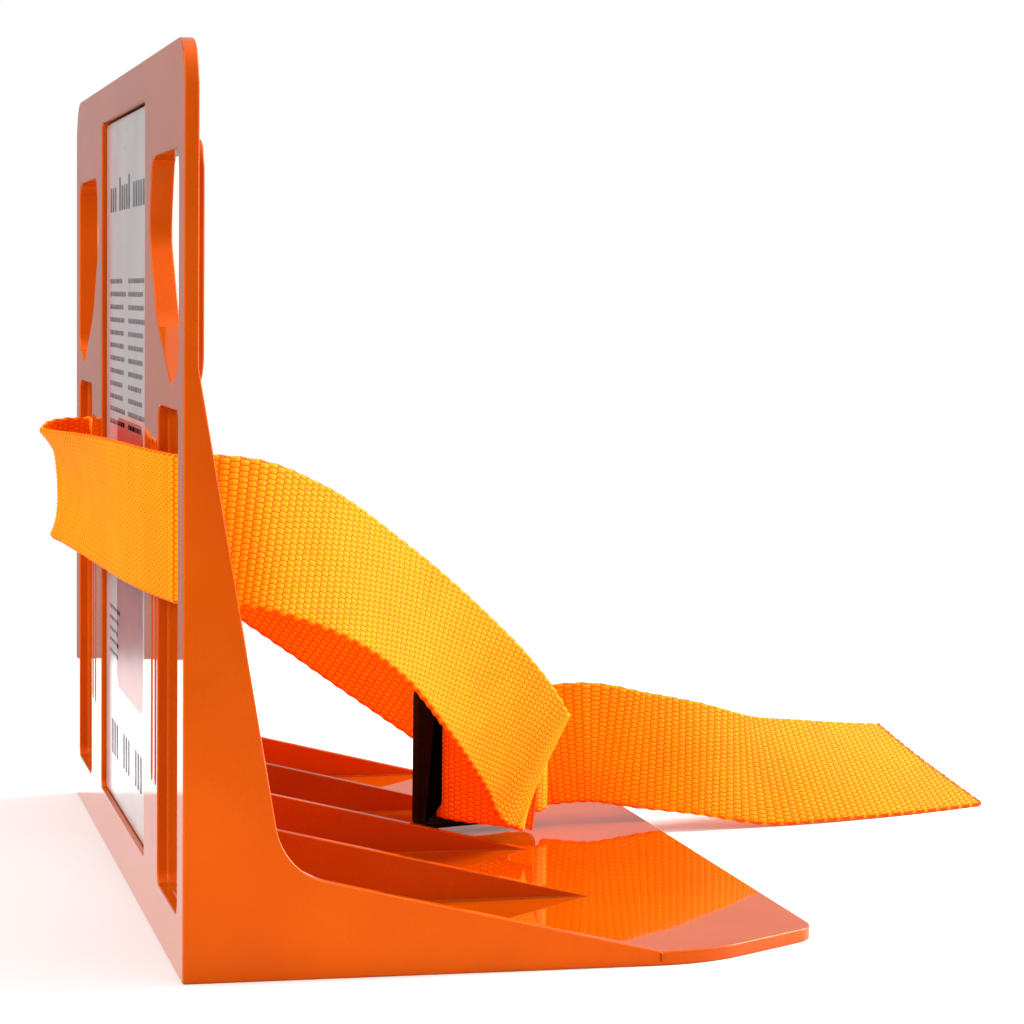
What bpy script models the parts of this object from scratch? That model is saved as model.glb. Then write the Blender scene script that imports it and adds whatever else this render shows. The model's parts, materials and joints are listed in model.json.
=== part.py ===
"""Boot cargo holder: an L-shaped moulded bracket with a printed label, a webbing strap with its buckle,
and two strips of hook tape underneath.

Frame: metres, +Z up. The origin is the centre of the moulding's underside, so the floor is at Z = 0. The
upright panel stands at -X and takes the cargo on its -X face. The base runs towards +X. The strap's buckle
lies behind the panel.
"""

import math

import bmesh
import bpy
import numpy as np
from mathutils import Matrix, Vector

MM = 0.001
GAP = 0.3 * MM  # between two pieces that touch

# Overall sizes of the moulding
WIDTH = 245 * MM
HEIGHT = 190 * MM
DEPTH = 140 * MM
WALL = 3.0 * MM

# Panel
PANEL_CORNER_R = 11 * MM
PANEL_FOOT_R = 1.5 * MM

# Base plate: full width as far as TAPER_START, then narrowing to the free edge
TAPER_START = 110 * MM
TAPER_START_R = 35 * MM
TAPER_INSET = 19.5 * MM
TAPER_END_R = 9 * MM

# Ribs between panel and base
RIB_COUNT = 5
RIB_THICK = 2.8 * MM
RIB_TOP_Z = 124 * MM
RIB_REACH = 100 * MM
RIB_KNEE_X = 20.6 * MM
RIB_KNEE_Z = 22 * MM
RIB_KNEE_R = 14 * MM

# Label and the recess that holds it
LABEL_WIDTH = 99 * MM
LABEL_HEIGHT = 167 * MM
LABEL_THICK = 0.5 * MM
LABEL_R = 1.5 * MM
LABEL_MARGIN = 0.5 * MM
LABEL_BASE_Z = 13.5 * MM
LABEL_RECESS = 2.1 * MM

# Hand holes: corners as (distance in from the panel's side, height), with the radius of each
HAND_HOLE = (
    (9.5 * MM, 168 * MM, 5 * MM),
    (58 * MM, 168 * MM, 5 * MM),
    (64 * MM, 152 * MM, 9 * MM),
    (49 * MM, 133 * MM, 16 * MM),
    (23 * MM, 119.5 * MM, 7 * MM),
    (9.5 * MM, 124 * MM, 5 * MM),
)
COLLAR_WALL = 2.0 * MM
COLLAR_RISE = 2.0 * MM

# Webbing
STRAP_WIDTH = 30 * MM
STRAP_THICK = 1.5 * MM
STRAP_SLOT_Z = 90 * MM  # height of the webbing's middle at the slots
STRAP_LIFT = 6 * MM  # how far it can ride up in the slots
END_SLANT = 19 * MM  # the cut end's lower corner runs on this far
TAIL_CLEAR = 0.7 * MM  # the tail's lower edge above the floor

# Strap channels, each with a slot through its floor
CHANNEL_INSET = 10 * MM
CHANNEL_WIDTH = 36 * MM
CHANNEL_LOW_Z = 12 * MM
CHANNEL_R = 3 * MM
CHANNEL_DEPTH = 2.4 * MM
SLOT_INSET = 25 * MM
SLOT_WIDTH = 4.0 * MM
SLOT_LOW_Z = 40 * MM
SLOT_PLAY = 1.0 * MM
CHANNEL_ABOVE_SLOT = 3 * MM

# Narrow slots for other strap positions
SPARE_SLOT_INSETS = (49.5 * MM, 56.5 * MM)
SPARE_SLOT_WIDTH = 3.2 * MM
SPARE_SLOT_LOW_Z = 33 * MM
SPARE_SLOT_HIGH_Z = 107 * MM

# Buckle: a flat frame with three bars
BUCKLE_LENGTH = 35 * MM
BUCKLE_RAIL = 2.6 * MM
BUCKLE_BAR = 5.5 * MM
BUCKLE_THICK = 4.5 * MM
BUCKLE_PLAY = 0.5 * MM
BUCKLE_SLOT_R = 0.9 * MM
BUCKLE_EDGE = 0.8 * MM  # less than the slots' corner radius
BUCKLE_TURN = math.radians(19)
BUCKLE_X = 92.5 * MM  # from the panel's front face
BUCKLE_Y_SHARE = 0.278  # of the way from the middle to the far slot
BUCKLE_LIFT = 1.7 * MM  # above the base plate

# Hook tape, flush in two pockets under the base
TAPE_WIDTH = 25 * MM
TAPE_LENGTH = 200 * MM
TAPE_THICK = 1.2 * MM
TAPE_R = 2 * MM
TAPE_MARGIN = 0.5 * MM
TAPE_FRONT_X = 25 * MM  # middle of each strip, from the panel's front face
TAPE_REAR_X = 100 * MM

# Worked out from the above
FRONT_X = -DEPTH / 2
BACK_X = FRONT_X + WALL
SIDE_Y = WIDTH / 2
SLOT_Y = SIDE_Y - SLOT_INSET
SLOT_HIGH_Z = STRAP_SLOT_Z + STRAP_WIDTH / 2 + STRAP_LIFT + SLOT_PLAY
CHANNEL_HIGH_Z = SLOT_HIGH_Z + CHANNEL_ABOVE_SLOT
BUCKLE_SLOT = STRAP_WIDTH + 2 * BUCKLE_PLAY
BUCKLE_HEIGHT = BUCKLE_SLOT + 2 * BUCKLE_RAIL
BAR_IN = (BUCKLE_LENGTH / 2 - BUCKLE_BAR) / MM  # inner face of an outer bar, from the middle bar
BUCKLE_AT = Vector((FRONT_X + BUCKLE_X, BUCKLE_Y_SHARE * SLOT_Y, WALL + BUCKLE_LIFT + BUCKLE_HEIGHT / 2))
TAPE_PLACES = (("front", FRONT_X + TAPE_FRONT_X), ("rear", FRONT_X + TAPE_REAR_X))


# ---------------------------------------------------------------- scene and helpers


def clear_scene():
    for obj in list(bpy.data.objects):
        bpy.data.objects.remove(obj, do_unlink=True)


def collection(name):
    made = bpy.data.collections.new(name)
    bpy.context.scene.collection.children.link(made)
    return made


def material(name, colour, roughness, metallic=0.0):
    made = bpy.data.materials.new(name)
    made.use_nodes = True
    shader = made.node_tree.nodes["Principled BSDF"]
    shader.inputs["Base Color"].default_value = (*colour, 1.0)
    shader.inputs["Roughness"].default_value = roughness
    shader.inputs["Metallic"].default_value = metallic
    made.diffuse_color = (*colour, 1.0)
    return made


def rounded(corners, steps=5):
    """Outline through corners of (x, y, radius), each rounded to its radius with steps straight pieces."""
    points = []
    count = len(corners)
    for i, (x, y, radius) in enumerate(corners):
        here = Vector((x, y))
        if radius <= 0:
            points.append(here)
            continue
        to_last = (Vector(corners[i - 1][:2]) - here).normalized()
        to_next = (Vector(corners[(i + 1) % count][:2]) - here).normalized()
        half = to_last.angle(to_next) / 2
        centre = here + (to_last + to_next).normalized() * (radius / math.sin(half))
        start = here + to_last * (radius / math.tan(half)) - centre
        turn = math.pi - 2 * half
        side = 1 if to_last.x * to_next.y - to_last.y * to_next.x < 0 else -1
        for k in range(steps + 1):
            points.append(centre + Matrix.Rotation(side * turn * k / steps, 2) @ start)
    return points


def rectangle(low_x, high_x, low_y, high_y, radius):
    return [
        (low_x, low_y, radius),
        (high_x, low_y, radius),
        (high_x, high_y, radius),
        (low_x, high_y, radius),
    ]


def grown(points, margin):
    """A convex outline moved outwards by margin."""
    centre = sum(points, Vector((0, 0))) / len(points)
    out = []
    for i, point in enumerate(points):
        along = (points[(i + 1) % len(points)] - points[i - 1]).normalized()
        normal = Vector((along.y, -along.x))
        if normal.dot(point - centre) < 0:
            normal = -normal
        out.append(point + normal * margin)
    return out


PLANES = {
    "X": Matrix(((0, 0, 1), (1, 0, 0), (0, 1, 0))),  # outline in (y, z)
    "Y": Matrix(((1, 0, 0), (0, 0, -1), (0, 1, 0))),  # outline in (x, z)
    "Z": Matrix.Identity(3),  # outline in (x, y)
}


def plate(name, outline, axis, low, high, into, holes=()):
    """A flat outline, with any holes, given thickness along an axis from low to high."""
    curve = bpy.data.curves.new(name, "CURVE")
    curve.dimensions = "2D"
    curve.fill_mode = "BOTH"
    curve.extrude = (high - low) / 2
    for loop in (outline, *holes):
        spline = curve.splines.new("POLY")
        spline.points.add(len(loop) - 1)
        for point, (x, y) in zip(spline.points, loop):
            point.co = (x, y, 0, 1)
        spline.use_cyclic_u = True
    shape = bpy.data.objects.new(name + "_outline", curve)
    bpy.context.scene.collection.objects.link(shape)
    shift = Vector([(low + high) / 2 if letter == axis else 0 for letter in "XYZ"])
    shape.matrix_world = Matrix.Translation(shift) @ PLANES[axis].to_4x4()
    bpy.context.view_layer.update()
    mesh = bpy.data.meshes.new_from_object(shape.evaluated_get(bpy.context.evaluated_depsgraph_get()))
    mesh.transform(shape.matrix_world)
    bpy.data.objects.remove(shape)
    bm = bmesh.new()
    bm.from_mesh(mesh)
    bmesh.ops.remove_doubles(bm, verts=bm.verts, dist=1e-6)
    bmesh.ops.recalc_face_normals(bm, faces=bm.faces)
    bm.to_mesh(mesh)
    bm.free()
    solid = bpy.data.objects.new(name, mesh)
    into.objects.link(solid)
    return solid


def as_helpers(helpers):
    helpers.hide_render = True
    for obj in helpers.objects:
        obj.hide_render = True
        obj.display_type = "WIRE"


def boolean(obj, operation, helpers):
    modifier = obj.modifiers.new(operation.lower(), "BOOLEAN")
    modifier.operation = operation
    modifier.operand_type = "COLLECTION"
    modifier.collection = helpers
    modifier.solver = "EXACT"


# ---------------------------------------------------------------- bracket


def base_outline():
    free = DEPTH / 2
    start = FRONT_X + TAPER_START
    return rounded(
        [
            (FRONT_X, -SIDE_Y, 0),
            (start, -SIDE_Y, TAPER_START_R),
            (free, -SIDE_Y + TAPER_INSET, TAPER_END_R),
            (free, SIDE_Y - TAPER_INSET, TAPER_END_R),
            (start, SIDE_Y, TAPER_START_R),
            (FRONT_X, SIDE_Y, 0),
        ]
    )


def panel_outline():
    foot, head = PANEL_FOOT_R, PANEL_CORNER_R
    corners = [(-SIDE_Y, 0, foot), (SIDE_Y, 0, foot), (SIDE_Y, HEIGHT, head), (-SIDE_Y, HEIGHT, head)]
    return rounded(corners)


def rib_outline():
    inside = WALL / 3
    return rounded(
        [
            (FRONT_X + inside, inside, 0),
            (FRONT_X + RIB_REACH, inside, 0),
            (FRONT_X + RIB_REACH, WALL, 0),
            (FRONT_X + RIB_KNEE_X, RIB_KNEE_Z, RIB_KNEE_R),
            (BACK_X, RIB_TOP_Z, 0),
            (FRONT_X + inside, RIB_TOP_Z, 0),
        ]
    )


def rib_middles():
    """Y of each rib's middle: the outer two are flush with the sides."""
    reach = SIDE_Y - RIB_THICK / 2
    return [-reach + 2 * reach * i / (RIB_COUNT - 1) for i in range(RIB_COUNT)]


def hand_hole_outline(side):
    return rounded([(side * (SIDE_Y - inset), z, radius) for inset, z, radius in HAND_HOLE])


def channel_outline(side, margin=0.0):
    outer = side * (SIDE_Y - CHANNEL_INSET + margin)
    inner = side * (SIDE_Y - CHANNEL_INSET - CHANNEL_WIDTH - margin)
    low, high = CHANNEL_LOW_Z - margin, CHANNEL_HIGH_Z + margin
    return rounded(rectangle(min(outer, inner), max(outer, inner), low, high, CHANNEL_R))


def slot_outline(y, width, low, high):
    return rounded(rectangle(y - width / 2, y + width / 2, low, high, width * 0.45))


def label_recess_outline(margin=0.0):
    half = LABEL_WIDTH / 2 + LABEL_MARGIN + margin
    low = LABEL_BASE_Z - LABEL_MARGIN - margin
    high = LABEL_BASE_Z + LABEL_HEIGHT + LABEL_MARGIN + margin
    return rounded(rectangle(-half, half, low, high, LABEL_R + LABEL_MARGIN))


def tape_outline(middle, margin=0.0):
    half_w, half_l = TAPE_WIDTH / 2 + margin, TAPE_LENGTH / 2 + margin
    return rounded(rectangle(middle - half_w, middle + half_w, -half_l, half_l, TAPE_R + margin))


def make_bracket(parts, paint):
    bracket = plate("bracket", panel_outline(), "X", FRONT_X, BACK_X, parts)
    added = collection("bracket_additions")
    cut = collection("bracket_cutters")
    plate("base_plate", base_outline(), "Z", 0, WALL, added)
    for i, y in enumerate(rib_middles()):
        plate(f"rib_{i + 1}", rib_outline(), "Y", y - RIB_THICK / 2, y + RIB_THICK / 2, added)
    seat = WALL / 2
    plate(
        "label_pad", label_recess_outline(COLLAR_WALL), "X", FRONT_X + seat, BACK_X + LABEL_RECESS, added
    )
    plate("label_recess", label_recess_outline(), "X", FRONT_X - WALL, FRONT_X + LABEL_RECESS, cut)
    through = (FRONT_X - WALL, BACK_X + 2 * CHANNEL_DEPTH)
    for side, end in ((-1, "near"), (1, "far")):
        hole = hand_hole_outline(side)
        collar_end = BACK_X + COLLAR_RISE
        plate(f"collar_{end}", grown(hole, COLLAR_WALL), "X", FRONT_X + seat, collar_end, added)
        plate(f"hand_hole_{end}", hole, "X", *through, cut)
        pad = channel_outline(side, COLLAR_WALL)
        plate(f"channel_pad_{end}", pad, "X", FRONT_X + seat, BACK_X + CHANNEL_DEPTH, added)
        floor = FRONT_X + CHANNEL_DEPTH
        plate(f"channel_{end}", channel_outline(side), "X", FRONT_X - WALL, floor, cut)
        slot = slot_outline(side * SLOT_Y, SLOT_WIDTH, SLOT_LOW_Z, SLOT_HIGH_Z)
        plate(f"strap_slot_{end}", slot, "X", *through, cut)
        for i, inset in enumerate(SPARE_SLOT_INSETS):
            y = side * (SIDE_Y - inset)
            spare = slot_outline(y, SPARE_SLOT_WIDTH, SPARE_SLOT_LOW_Z, SPARE_SLOT_HIGH_Z)
            plate(f"spare_slot_{end}_{i + 1}", spare, "X", *through, cut)
    for end, middle in TAPE_PLACES:
        plate(f"tape_pocket_{end}", tape_outline(middle, TAPE_MARGIN), "Z", -WALL, TAPE_THICK + GAP, cut)
    as_helpers(added)
    as_helpers(cut)
    boolean(bracket, "UNION", added)
    boolean(bracket, "DIFFERENCE", cut)
    bracket.data.materials.append(paint)
    return bracket


def make_label(parts, paint):
    half = LABEL_WIDTH / 2
    shape = rounded(rectangle(-half, half, LABEL_BASE_Z, LABEL_BASE_Z + LABEL_HEIGHT, LABEL_R))
    seat = FRONT_X + LABEL_RECESS - GAP
    label = plate("label", shape, "X", seat - LABEL_THICK, seat, parts)
    label.data.materials.append(paint)


def make_hook_tapes(parts, paint):
    for end, middle in TAPE_PLACES:
        tape = plate(f"hook_tape_{end}", tape_outline(middle), "Z", 0, TAPE_THICK, parts)
        tape.data.materials.append(paint)


# ---------------------------------------------------------------- buckle


def buckle_frame():
    """Matrix from the buckle's own frame to the object's: x along it, y across its bars, z out of its face."""
    along = Vector((math.cos(BUCKLE_TURN), math.sin(BUCKLE_TURN), 0))
    out = Vector((math.sin(BUCKLE_TURN), -math.cos(BUCKLE_TURN), 0))
    turn = Matrix((along, Vector((0, 0, 1)), out)).transposed()
    return Matrix.Translation(BUCKLE_AT) @ turn.to_4x4()


def make_buckle(parts, paint):
    half_l, half_h = BUCKLE_LENGTH / 2, BUCKLE_HEIGHT / 2
    frame = rounded(rectangle(-half_l, half_l, -half_h, half_h, BUCKLE_RAIL))
    inner = half_l - BUCKLE_BAR
    half_bar, half_slot = BUCKLE_BAR / 2, BUCKLE_SLOT / 2
    slots = [
        rounded(rectangle(low, high, -half_slot, half_slot, BUCKLE_SLOT_R))
        for low, high in ((-inner, -half_bar), (half_bar, inner))
    ]
    buckle = plate("buckle", frame, "Z", -BUCKLE_THICK / 2, BUCKLE_THICK / 2, parts, slots)
    buckle.matrix_world = buckle_frame()
    weld = buckle.modifiers.new("weld", "WELD")
    weld.merge_threshold = 1e-6
    bevel = buckle.modifiers.new("rounded edges", "BEVEL")
    bevel.width = BUCKLE_EDGE
    bevel.segments = 2
    bevel.limit_method = "ANGLE"
    bevel.angle_limit = math.radians(50)
    buckle.data.materials.append(paint)


# ---------------------------------------------------------------- webbing


def from_panel(x, y_share, z, lean_x, lean_y, lean_z):
    """A station of the webbing: its middle and the way its upper edge points.

    x is measured from the panel's front face, and y_share is 1 at the far slot and -1 at the near one.
    """
    middle = Vector((FRONT_X + x * MM, y_share * SLOT_Y, z * MM))
    return middle, Vector((lean_x, lean_y, lean_z)).normalized()


def at_slot(side, x, y, z=0.0):
    """A station beside a slot: x from the panel's front face, y from the slot towards the middle."""
    middle = Vector((FRONT_X + x * MM, side * (SLOT_Y - y * MM), STRAP_SLOT_Z + z * MM))
    return middle, Vector((0, 0, 1))


def at_buckle(along, out, drop=0.0, lean=(0, 0, 1)):
    """A station in the buckle's frame: along it from the middle bar, and out of its face."""
    middle = buckle_frame() @ Vector((along * MM, -drop * MM, out * MM))
    return middle, Vector(lean).normalized()


def on_floor(x, y, lean_y):
    """A station of the tail, which stands on its lower edge and leans back by lean_y."""
    up = math.sqrt(1 - lean_y**2)
    z = TAIL_CLEAR + STRAP_WIDTH / 2 * up + STRAP_THICK / 2 * lean_y
    middle = Vector((FRONT_X + x * MM, BUCKLE_AT.y + y * MM, z))
    return middle, Vector((0, lean_y, up))


def strap_stations():
    """The webbing's route from the sewn end, round the near side, along the front and back to the cut end."""
    sewn_end = [
        at_buckle(1.7, 27.5, lean=(0.25, -0.1, 0.96)),
        at_buckle(0.6, 23.5, lean=(0.18, -0.05, 0.98)),
        at_buckle(-0.6, 19.6, lean=(0.1, 0, 0.99)),
        at_buckle(1.6, 13.5),
        at_buckle(4.6, 7),
        at_buckle(5.4, 2),
        at_buckle(5.2, -2),
        at_buckle(2.6, -4.3),
        at_buckle(-3, -4.5),
        at_buckle(-8.4, -4.2),
        at_buckle(1.8 - BAR_IN, -1.5),
        at_buckle(1.7 - BAR_IN, 2.5),
        at_buckle(2.6 - BAR_IN, 7.5),
        at_buckle(-6.8, 13.6),
        at_buckle(-2.9, 20.3, lean=(0.1, 0, 0.99)),
    ]
    near_run = [
        from_panel(101, 0.005, 22.7, 0.25, -0.1, 0.96),
        from_panel(101.5, -0.072, 23.5, 0.38, -0.12, 0.92),
        from_panel(98, -0.154, 25.5, 0.42, -0.1, 0.9),
        from_panel(92.5, -0.256, 33, 0.36, -0.05, 0.93),
        from_panel(75, -0.487, 52, 0.1, 0.08, 0.99),
        from_panel(57, -0.672, 68.5, -0.08, 0.2, 0.97),
        from_panel(33, -0.88, 83.5, -0.1, 0.15, 0.98),
        from_panel(17, -0.975, 89, -0.05, 0.05, 1),
    ]
    front_loop = [
        at_slot(-1, 7.5, 0),
        at_slot(-1, 3.6, 0),
        at_slot(-1, 1.6, 1),
        at_slot(-1, 1.1, 3.6),
        at_slot(-1, -1.15, 20.8),
        at_slot(-1, -1.7, 25),
        from_panel(-3.4, -0.54, 90, 0, 0, 1),
        from_panel(-5.2, -0.13, 89.7, -0.03, 0, 1),
        from_panel(-7.6, 0.28, 89.5, -0.08, 0, 1),
        from_panel(-10, 0.62, 89.3, -0.12, 0, 1),
        from_panel(-10.8, 0.79, 89.3, -0.1, 0, 1),
        from_panel(-9.6, 0.86, 89.6, -0.05, 0, 1),
        at_slot(1, -6, 8.3),
        at_slot(1, 0.3, 2.3),
        at_slot(1, 2.4, 0.3),
        at_slot(1, 7.5, 0),
    ]
    far_run = [
        from_panel(14, 0.998, 87.5, 0.12, 0, 0.99),
        from_panel(30, 0.985, 77, 0.36, 0, 0.93),
        from_panel(52.5, 0.925, 62, 0.47, 0, 0.88),
        from_panel(76, 0.81, 45.5, 0.49, 0, 0.87),
        from_panel(94, 0.67, 33, 0.42, 0, 0.9),
        at_buckle(20.6, -22, drop=-2.5, lean=(0.2, 0, 0.98)),
        at_buckle(19.8, -13),
        at_buckle(15.6, -7.2),
        at_buckle(BAR_IN - 0.6, -4.2),
        at_buckle(BAR_IN - 2.2, -0.5),
        at_buckle(BAR_IN - 1.8, 3.2),
        at_buckle(12.8, 4.9),
        at_buckle(17, 4.7),
        at_buckle(19.9, 1.9),
        at_buckle(21.2, -1.6, lean=(0, 0.06, 1)),
    ]
    tail = [
        from_panel(125, 0.39, 23.4, -0.04, 0.18, 0.97),
        from_panel(140, 0.4, 20.8, 0, 0.3, 0.95),
        from_panel(155, 0.415, 18.2, 0, 0.4, 0.92),
        on_floor(173, 16.5, 0.5),
        on_floor(190, 21.5, 0.62),
        on_floor(207, 28, 0.71),
        on_floor(224, 35.5, 0.77),
        on_floor(237.5, 42, 0.79),
    ]
    return sewn_end + near_run + front_loop + far_run + tail


def through(points, steps):
    """A smooth curve through the points, as many steps in each stretch as steps says."""
    points = np.array(points, float)
    chord = np.linalg.norm(np.diff(points[:, :3], axis=0), axis=1)
    slope = np.diff(points, axis=0) / chord[:, None]
    tangent = np.empty_like(points)
    tangent[0], tangent[-1] = slope[0], slope[-1]
    before, after = chord[:-1, None], chord[1:, None]
    tangent[1:-1] = (slope[:-1] * after + slope[1:] * before) / (before + after)
    rows = []
    for i, length in enumerate(chord):
        for t in np.arange(steps[i]) / steps[i]:
            rows.append(
                (2 * t**3 - 3 * t**2 + 1) * points[i]
                + (t**3 - 2 * t**2 + t) * length * tangent[i]
                + (3 * t**2 - 2 * t**3) * points[i + 1]
                + (t**3 - t**2) * length * tangent[i + 1]
            )
    rows.append(points[-1])
    return np.array(rows)


def strap_rails():
    """The webbing's lower and upper edges, as two rows of points."""
    stations = strap_stations()
    rows = [(*middle, *lean) for middle, lean in stations]
    gaps = [(b[0] - a[0]).length for a, b in zip(stations, stations[1:])]
    route = through(rows, [max(2, round(gap / (4 * MM))) for gap in gaps])
    middle, lean = route[:, :3], route[:, 3:]
    along = np.gradient(middle, axis=0)
    along /= np.linalg.norm(along, axis=1)[:, None]
    lean = lean - (lean * along).sum(1)[:, None] * along
    lean /= np.linalg.norm(lean, axis=1)[:, None]
    travelled = np.concatenate([[0], np.cumsum(np.linalg.norm(np.diff(middle, axis=0), axis=1))])
    lower = middle - lean * STRAP_WIDTH / 2
    upper = middle + lean * STRAP_WIDTH / 2
    left = travelled[-1] - travelled
    pulled = travelled - END_SLANT * np.clip(1 - left / (2 * END_SLANT), 0, 1) ** 2
    upper = np.stack([np.interp(pulled, travelled, upper[:, k]) for k in range(3)], axis=1)
    return lower, upper, travelled[-1]


def make_webbing(parts, paint):
    lower, upper, length = strap_rails()
    bm = bmesh.new()
    rails = []
    for points in (lower, upper):
        verts = [bm.verts.new(point) for point in points]
        rails += [bm.edges.new(pair) for pair in zip(verts, verts[1:])]
    bmesh.ops.bridge_loops(bm, edges=rails)
    mesh = bpy.data.meshes.new("webbing")
    bm.to_mesh(mesh)
    bm.free()
    webbing = bpy.data.objects.new("webbing", mesh)
    parts.objects.link(webbing)
    thicken = webbing.modifiers.new("thickness", "SOLIDIFY")
    thicken.thickness = STRAP_THICK
    thicken.offset = 0
    webbing.data.materials.append(paint)
    print(f"webbing length {length:.3f} m")


# ---------------------------------------------------------------- build


def main():
    clear_scene()
    parts = collection("boot_cargo_holder")
    moulding = material("orange moulding", (0.68, 0.08, 0.002), 0.25)
    printed = material("printed label", (0.62, 0.6, 0.6), 0.2)
    hooks = material("black hook tape", (0.012, 0.012, 0.013), 0.8)
    acetal = material("black buckle plastic", (0.012, 0.011, 0.012), 0.45)
    woven = material("orange webbing", (0.9, 0.22, 0.004), 0.8)
    make_bracket(parts, moulding)
    make_label(parts, printed)
    make_hook_tapes(parts, hooks)
    make_buckle(parts, acetal)
    make_webbing(parts, woven)


main()
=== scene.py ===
# %% [markdown]
# # A boot cargo holder, finished in Blender
# The holder is an L-shaped orange moulding that stands on the carpet of a car boot and keeps bags upright.
# A woven strap passes through two slots in its panel, and a black buckle behind the panel sets its length.
# The frame already holds plain solids of every part, at their real size and place. This lesson builds the
# surfaces that people see round them, one piece at a time, and then lights the result.

import json
import math

import bmesh
import bpy
import numpy as np
from mathutils import Matrix, Vector

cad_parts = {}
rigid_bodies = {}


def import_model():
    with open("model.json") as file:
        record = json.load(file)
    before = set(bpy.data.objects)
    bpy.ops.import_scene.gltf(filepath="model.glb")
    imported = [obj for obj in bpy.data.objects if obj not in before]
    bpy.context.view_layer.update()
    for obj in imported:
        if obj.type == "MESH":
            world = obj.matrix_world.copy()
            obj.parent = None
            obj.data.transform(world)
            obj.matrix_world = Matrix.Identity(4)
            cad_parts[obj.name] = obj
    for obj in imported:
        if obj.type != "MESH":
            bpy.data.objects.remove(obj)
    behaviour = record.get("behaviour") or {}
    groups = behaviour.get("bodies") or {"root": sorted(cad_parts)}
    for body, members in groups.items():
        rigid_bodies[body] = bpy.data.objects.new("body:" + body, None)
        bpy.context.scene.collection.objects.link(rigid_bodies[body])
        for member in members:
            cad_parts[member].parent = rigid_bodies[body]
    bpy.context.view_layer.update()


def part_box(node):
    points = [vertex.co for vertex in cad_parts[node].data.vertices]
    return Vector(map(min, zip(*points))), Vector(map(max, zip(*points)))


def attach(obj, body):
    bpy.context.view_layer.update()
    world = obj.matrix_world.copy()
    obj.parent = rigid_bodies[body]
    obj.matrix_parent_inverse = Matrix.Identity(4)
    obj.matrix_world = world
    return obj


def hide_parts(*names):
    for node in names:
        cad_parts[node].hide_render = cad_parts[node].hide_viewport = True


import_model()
MM = 0.001

# %% [markdown]
# ## Camera
# A long lens keeps the perspective gentle, as in a catalogue picture. Blender stores a camera's turn as a
# matrix whose columns are its right, its up and its backward direction. Three angles are enough to fill it:
# how far it turns from +Y, how far it looks down, and how far it leans on its side.

# %% Camera
CAMERA_AT = Vector((-0.1441, -0.7353, 0.1389))
CAMERA_TURN = 0.2264
CAMERA_DIP = 0.0697
CAMERA_LEAN = 0.0102
LENS_MM = 108.7


def make_camera():
    forward = Vector((
        math.sin(CAMERA_TURN) * math.cos(CAMERA_DIP),
        math.cos(CAMERA_TURN) * math.cos(CAMERA_DIP),
        -math.sin(CAMERA_DIP),
    ))
    level = Vector((math.cos(CAMERA_TURN), -math.sin(CAMERA_TURN), 0))
    above = level.cross(forward)
    right = level * math.cos(CAMERA_LEAN) + above * math.sin(CAMERA_LEAN)
    up = above * math.cos(CAMERA_LEAN) - level * math.sin(CAMERA_LEAN)
    camera = bpy.data.objects.new("camera", bpy.data.cameras.new("camera"))
    camera.data.lens = LENS_MM
    turn = Matrix((right, up, -forward)).transposed()
    camera.matrix_world = Matrix.Translation(CAMERA_AT) @ turn.to_4x4()
    bpy.context.scene.collection.objects.link(camera)
    bpy.context.scene.camera = camera


make_camera()
print("camera with a", LENS_MM, "mm lens")

# %% [markdown]
# ## Studio
# The stage is a small pale floor under soft light. A sun with a wide angle stands for a large lamp. The key
# light comes low from the right and rakes the strap. The faces turned away from it go deep orange, partly
# through the webbing's painted glow. A weaker sun on the left lights the panel's front. The world gives
# the glossy plastic a grey room to mirror, while the backdrop that the camera sees stays white: the Light
# Path node tells the two apart. The floor is kept small for the same reason, because past its edge the
# plastic mirrors the grey room.

# %% Studio
FLOOR_RADIUS = 0.45
ROOM_DARK, ROOM_PALE = (0.27, 0.27, 0.27, 1), (0.85, 0.85, 0.85, 1)


def make_world():
    world = bpy.data.worlds.new("studio")
    bpy.context.scene.world = world
    world.use_nodes = True
    nodes, links = world.node_tree.nodes, world.node_tree.links
    nodes.clear()
    backdrop = nodes.new("ShaderNodeBackground")
    backdrop.inputs["Color"].default_value = (1, 1, 1, 1)
    room = nodes.new("ShaderNodeBackground")
    room.inputs["Strength"].default_value = 1.0
    where = nodes.new("ShaderNodeTexCoord")
    split = nodes.new("ShaderNodeSeparateXYZ")
    height = nodes.new("ShaderNodeMapRange")
    height.inputs["From Min"].default_value = -0.2
    height.inputs["From Max"].default_value = 0.9
    ramp = nodes.new("ShaderNodeValToRGB")
    ramp.color_ramp.elements[0].color = ROOM_DARK
    ramp.color_ramp.elements[1].color = ROOM_PALE
    path = nodes.new("ShaderNodeLightPath")
    choice = nodes.new("ShaderNodeMixShader")
    out = nodes.new("ShaderNodeOutputWorld")
    links.new(where.outputs["Generated"], split.inputs[0])
    links.new(split.outputs["Z"], height.inputs["Value"])
    links.new(height.outputs[0], ramp.inputs["Fac"])
    links.new(ramp.outputs["Color"], room.inputs["Color"])
    links.new(path.outputs["Is Camera Ray"], choice.inputs["Fac"])
    links.new(room.outputs[0], choice.inputs[1])
    links.new(backdrop.outputs[0], choice.inputs[2])
    links.new(choice.outputs[0], out.inputs["Surface"])


def make_sun(name, strength, angle, toward):
    sun = bpy.data.lights.new(name, "SUN")
    sun.energy = strength
    sun.angle = math.radians(angle)
    lamp = bpy.data.objects.new(name, sun)
    lamp.rotation_mode = "QUATERNION"
    lamp.rotation_quaternion = Vector(toward).to_track_quat("-Z", "Y")
    bpy.context.scene.collection.objects.link(lamp)


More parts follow.
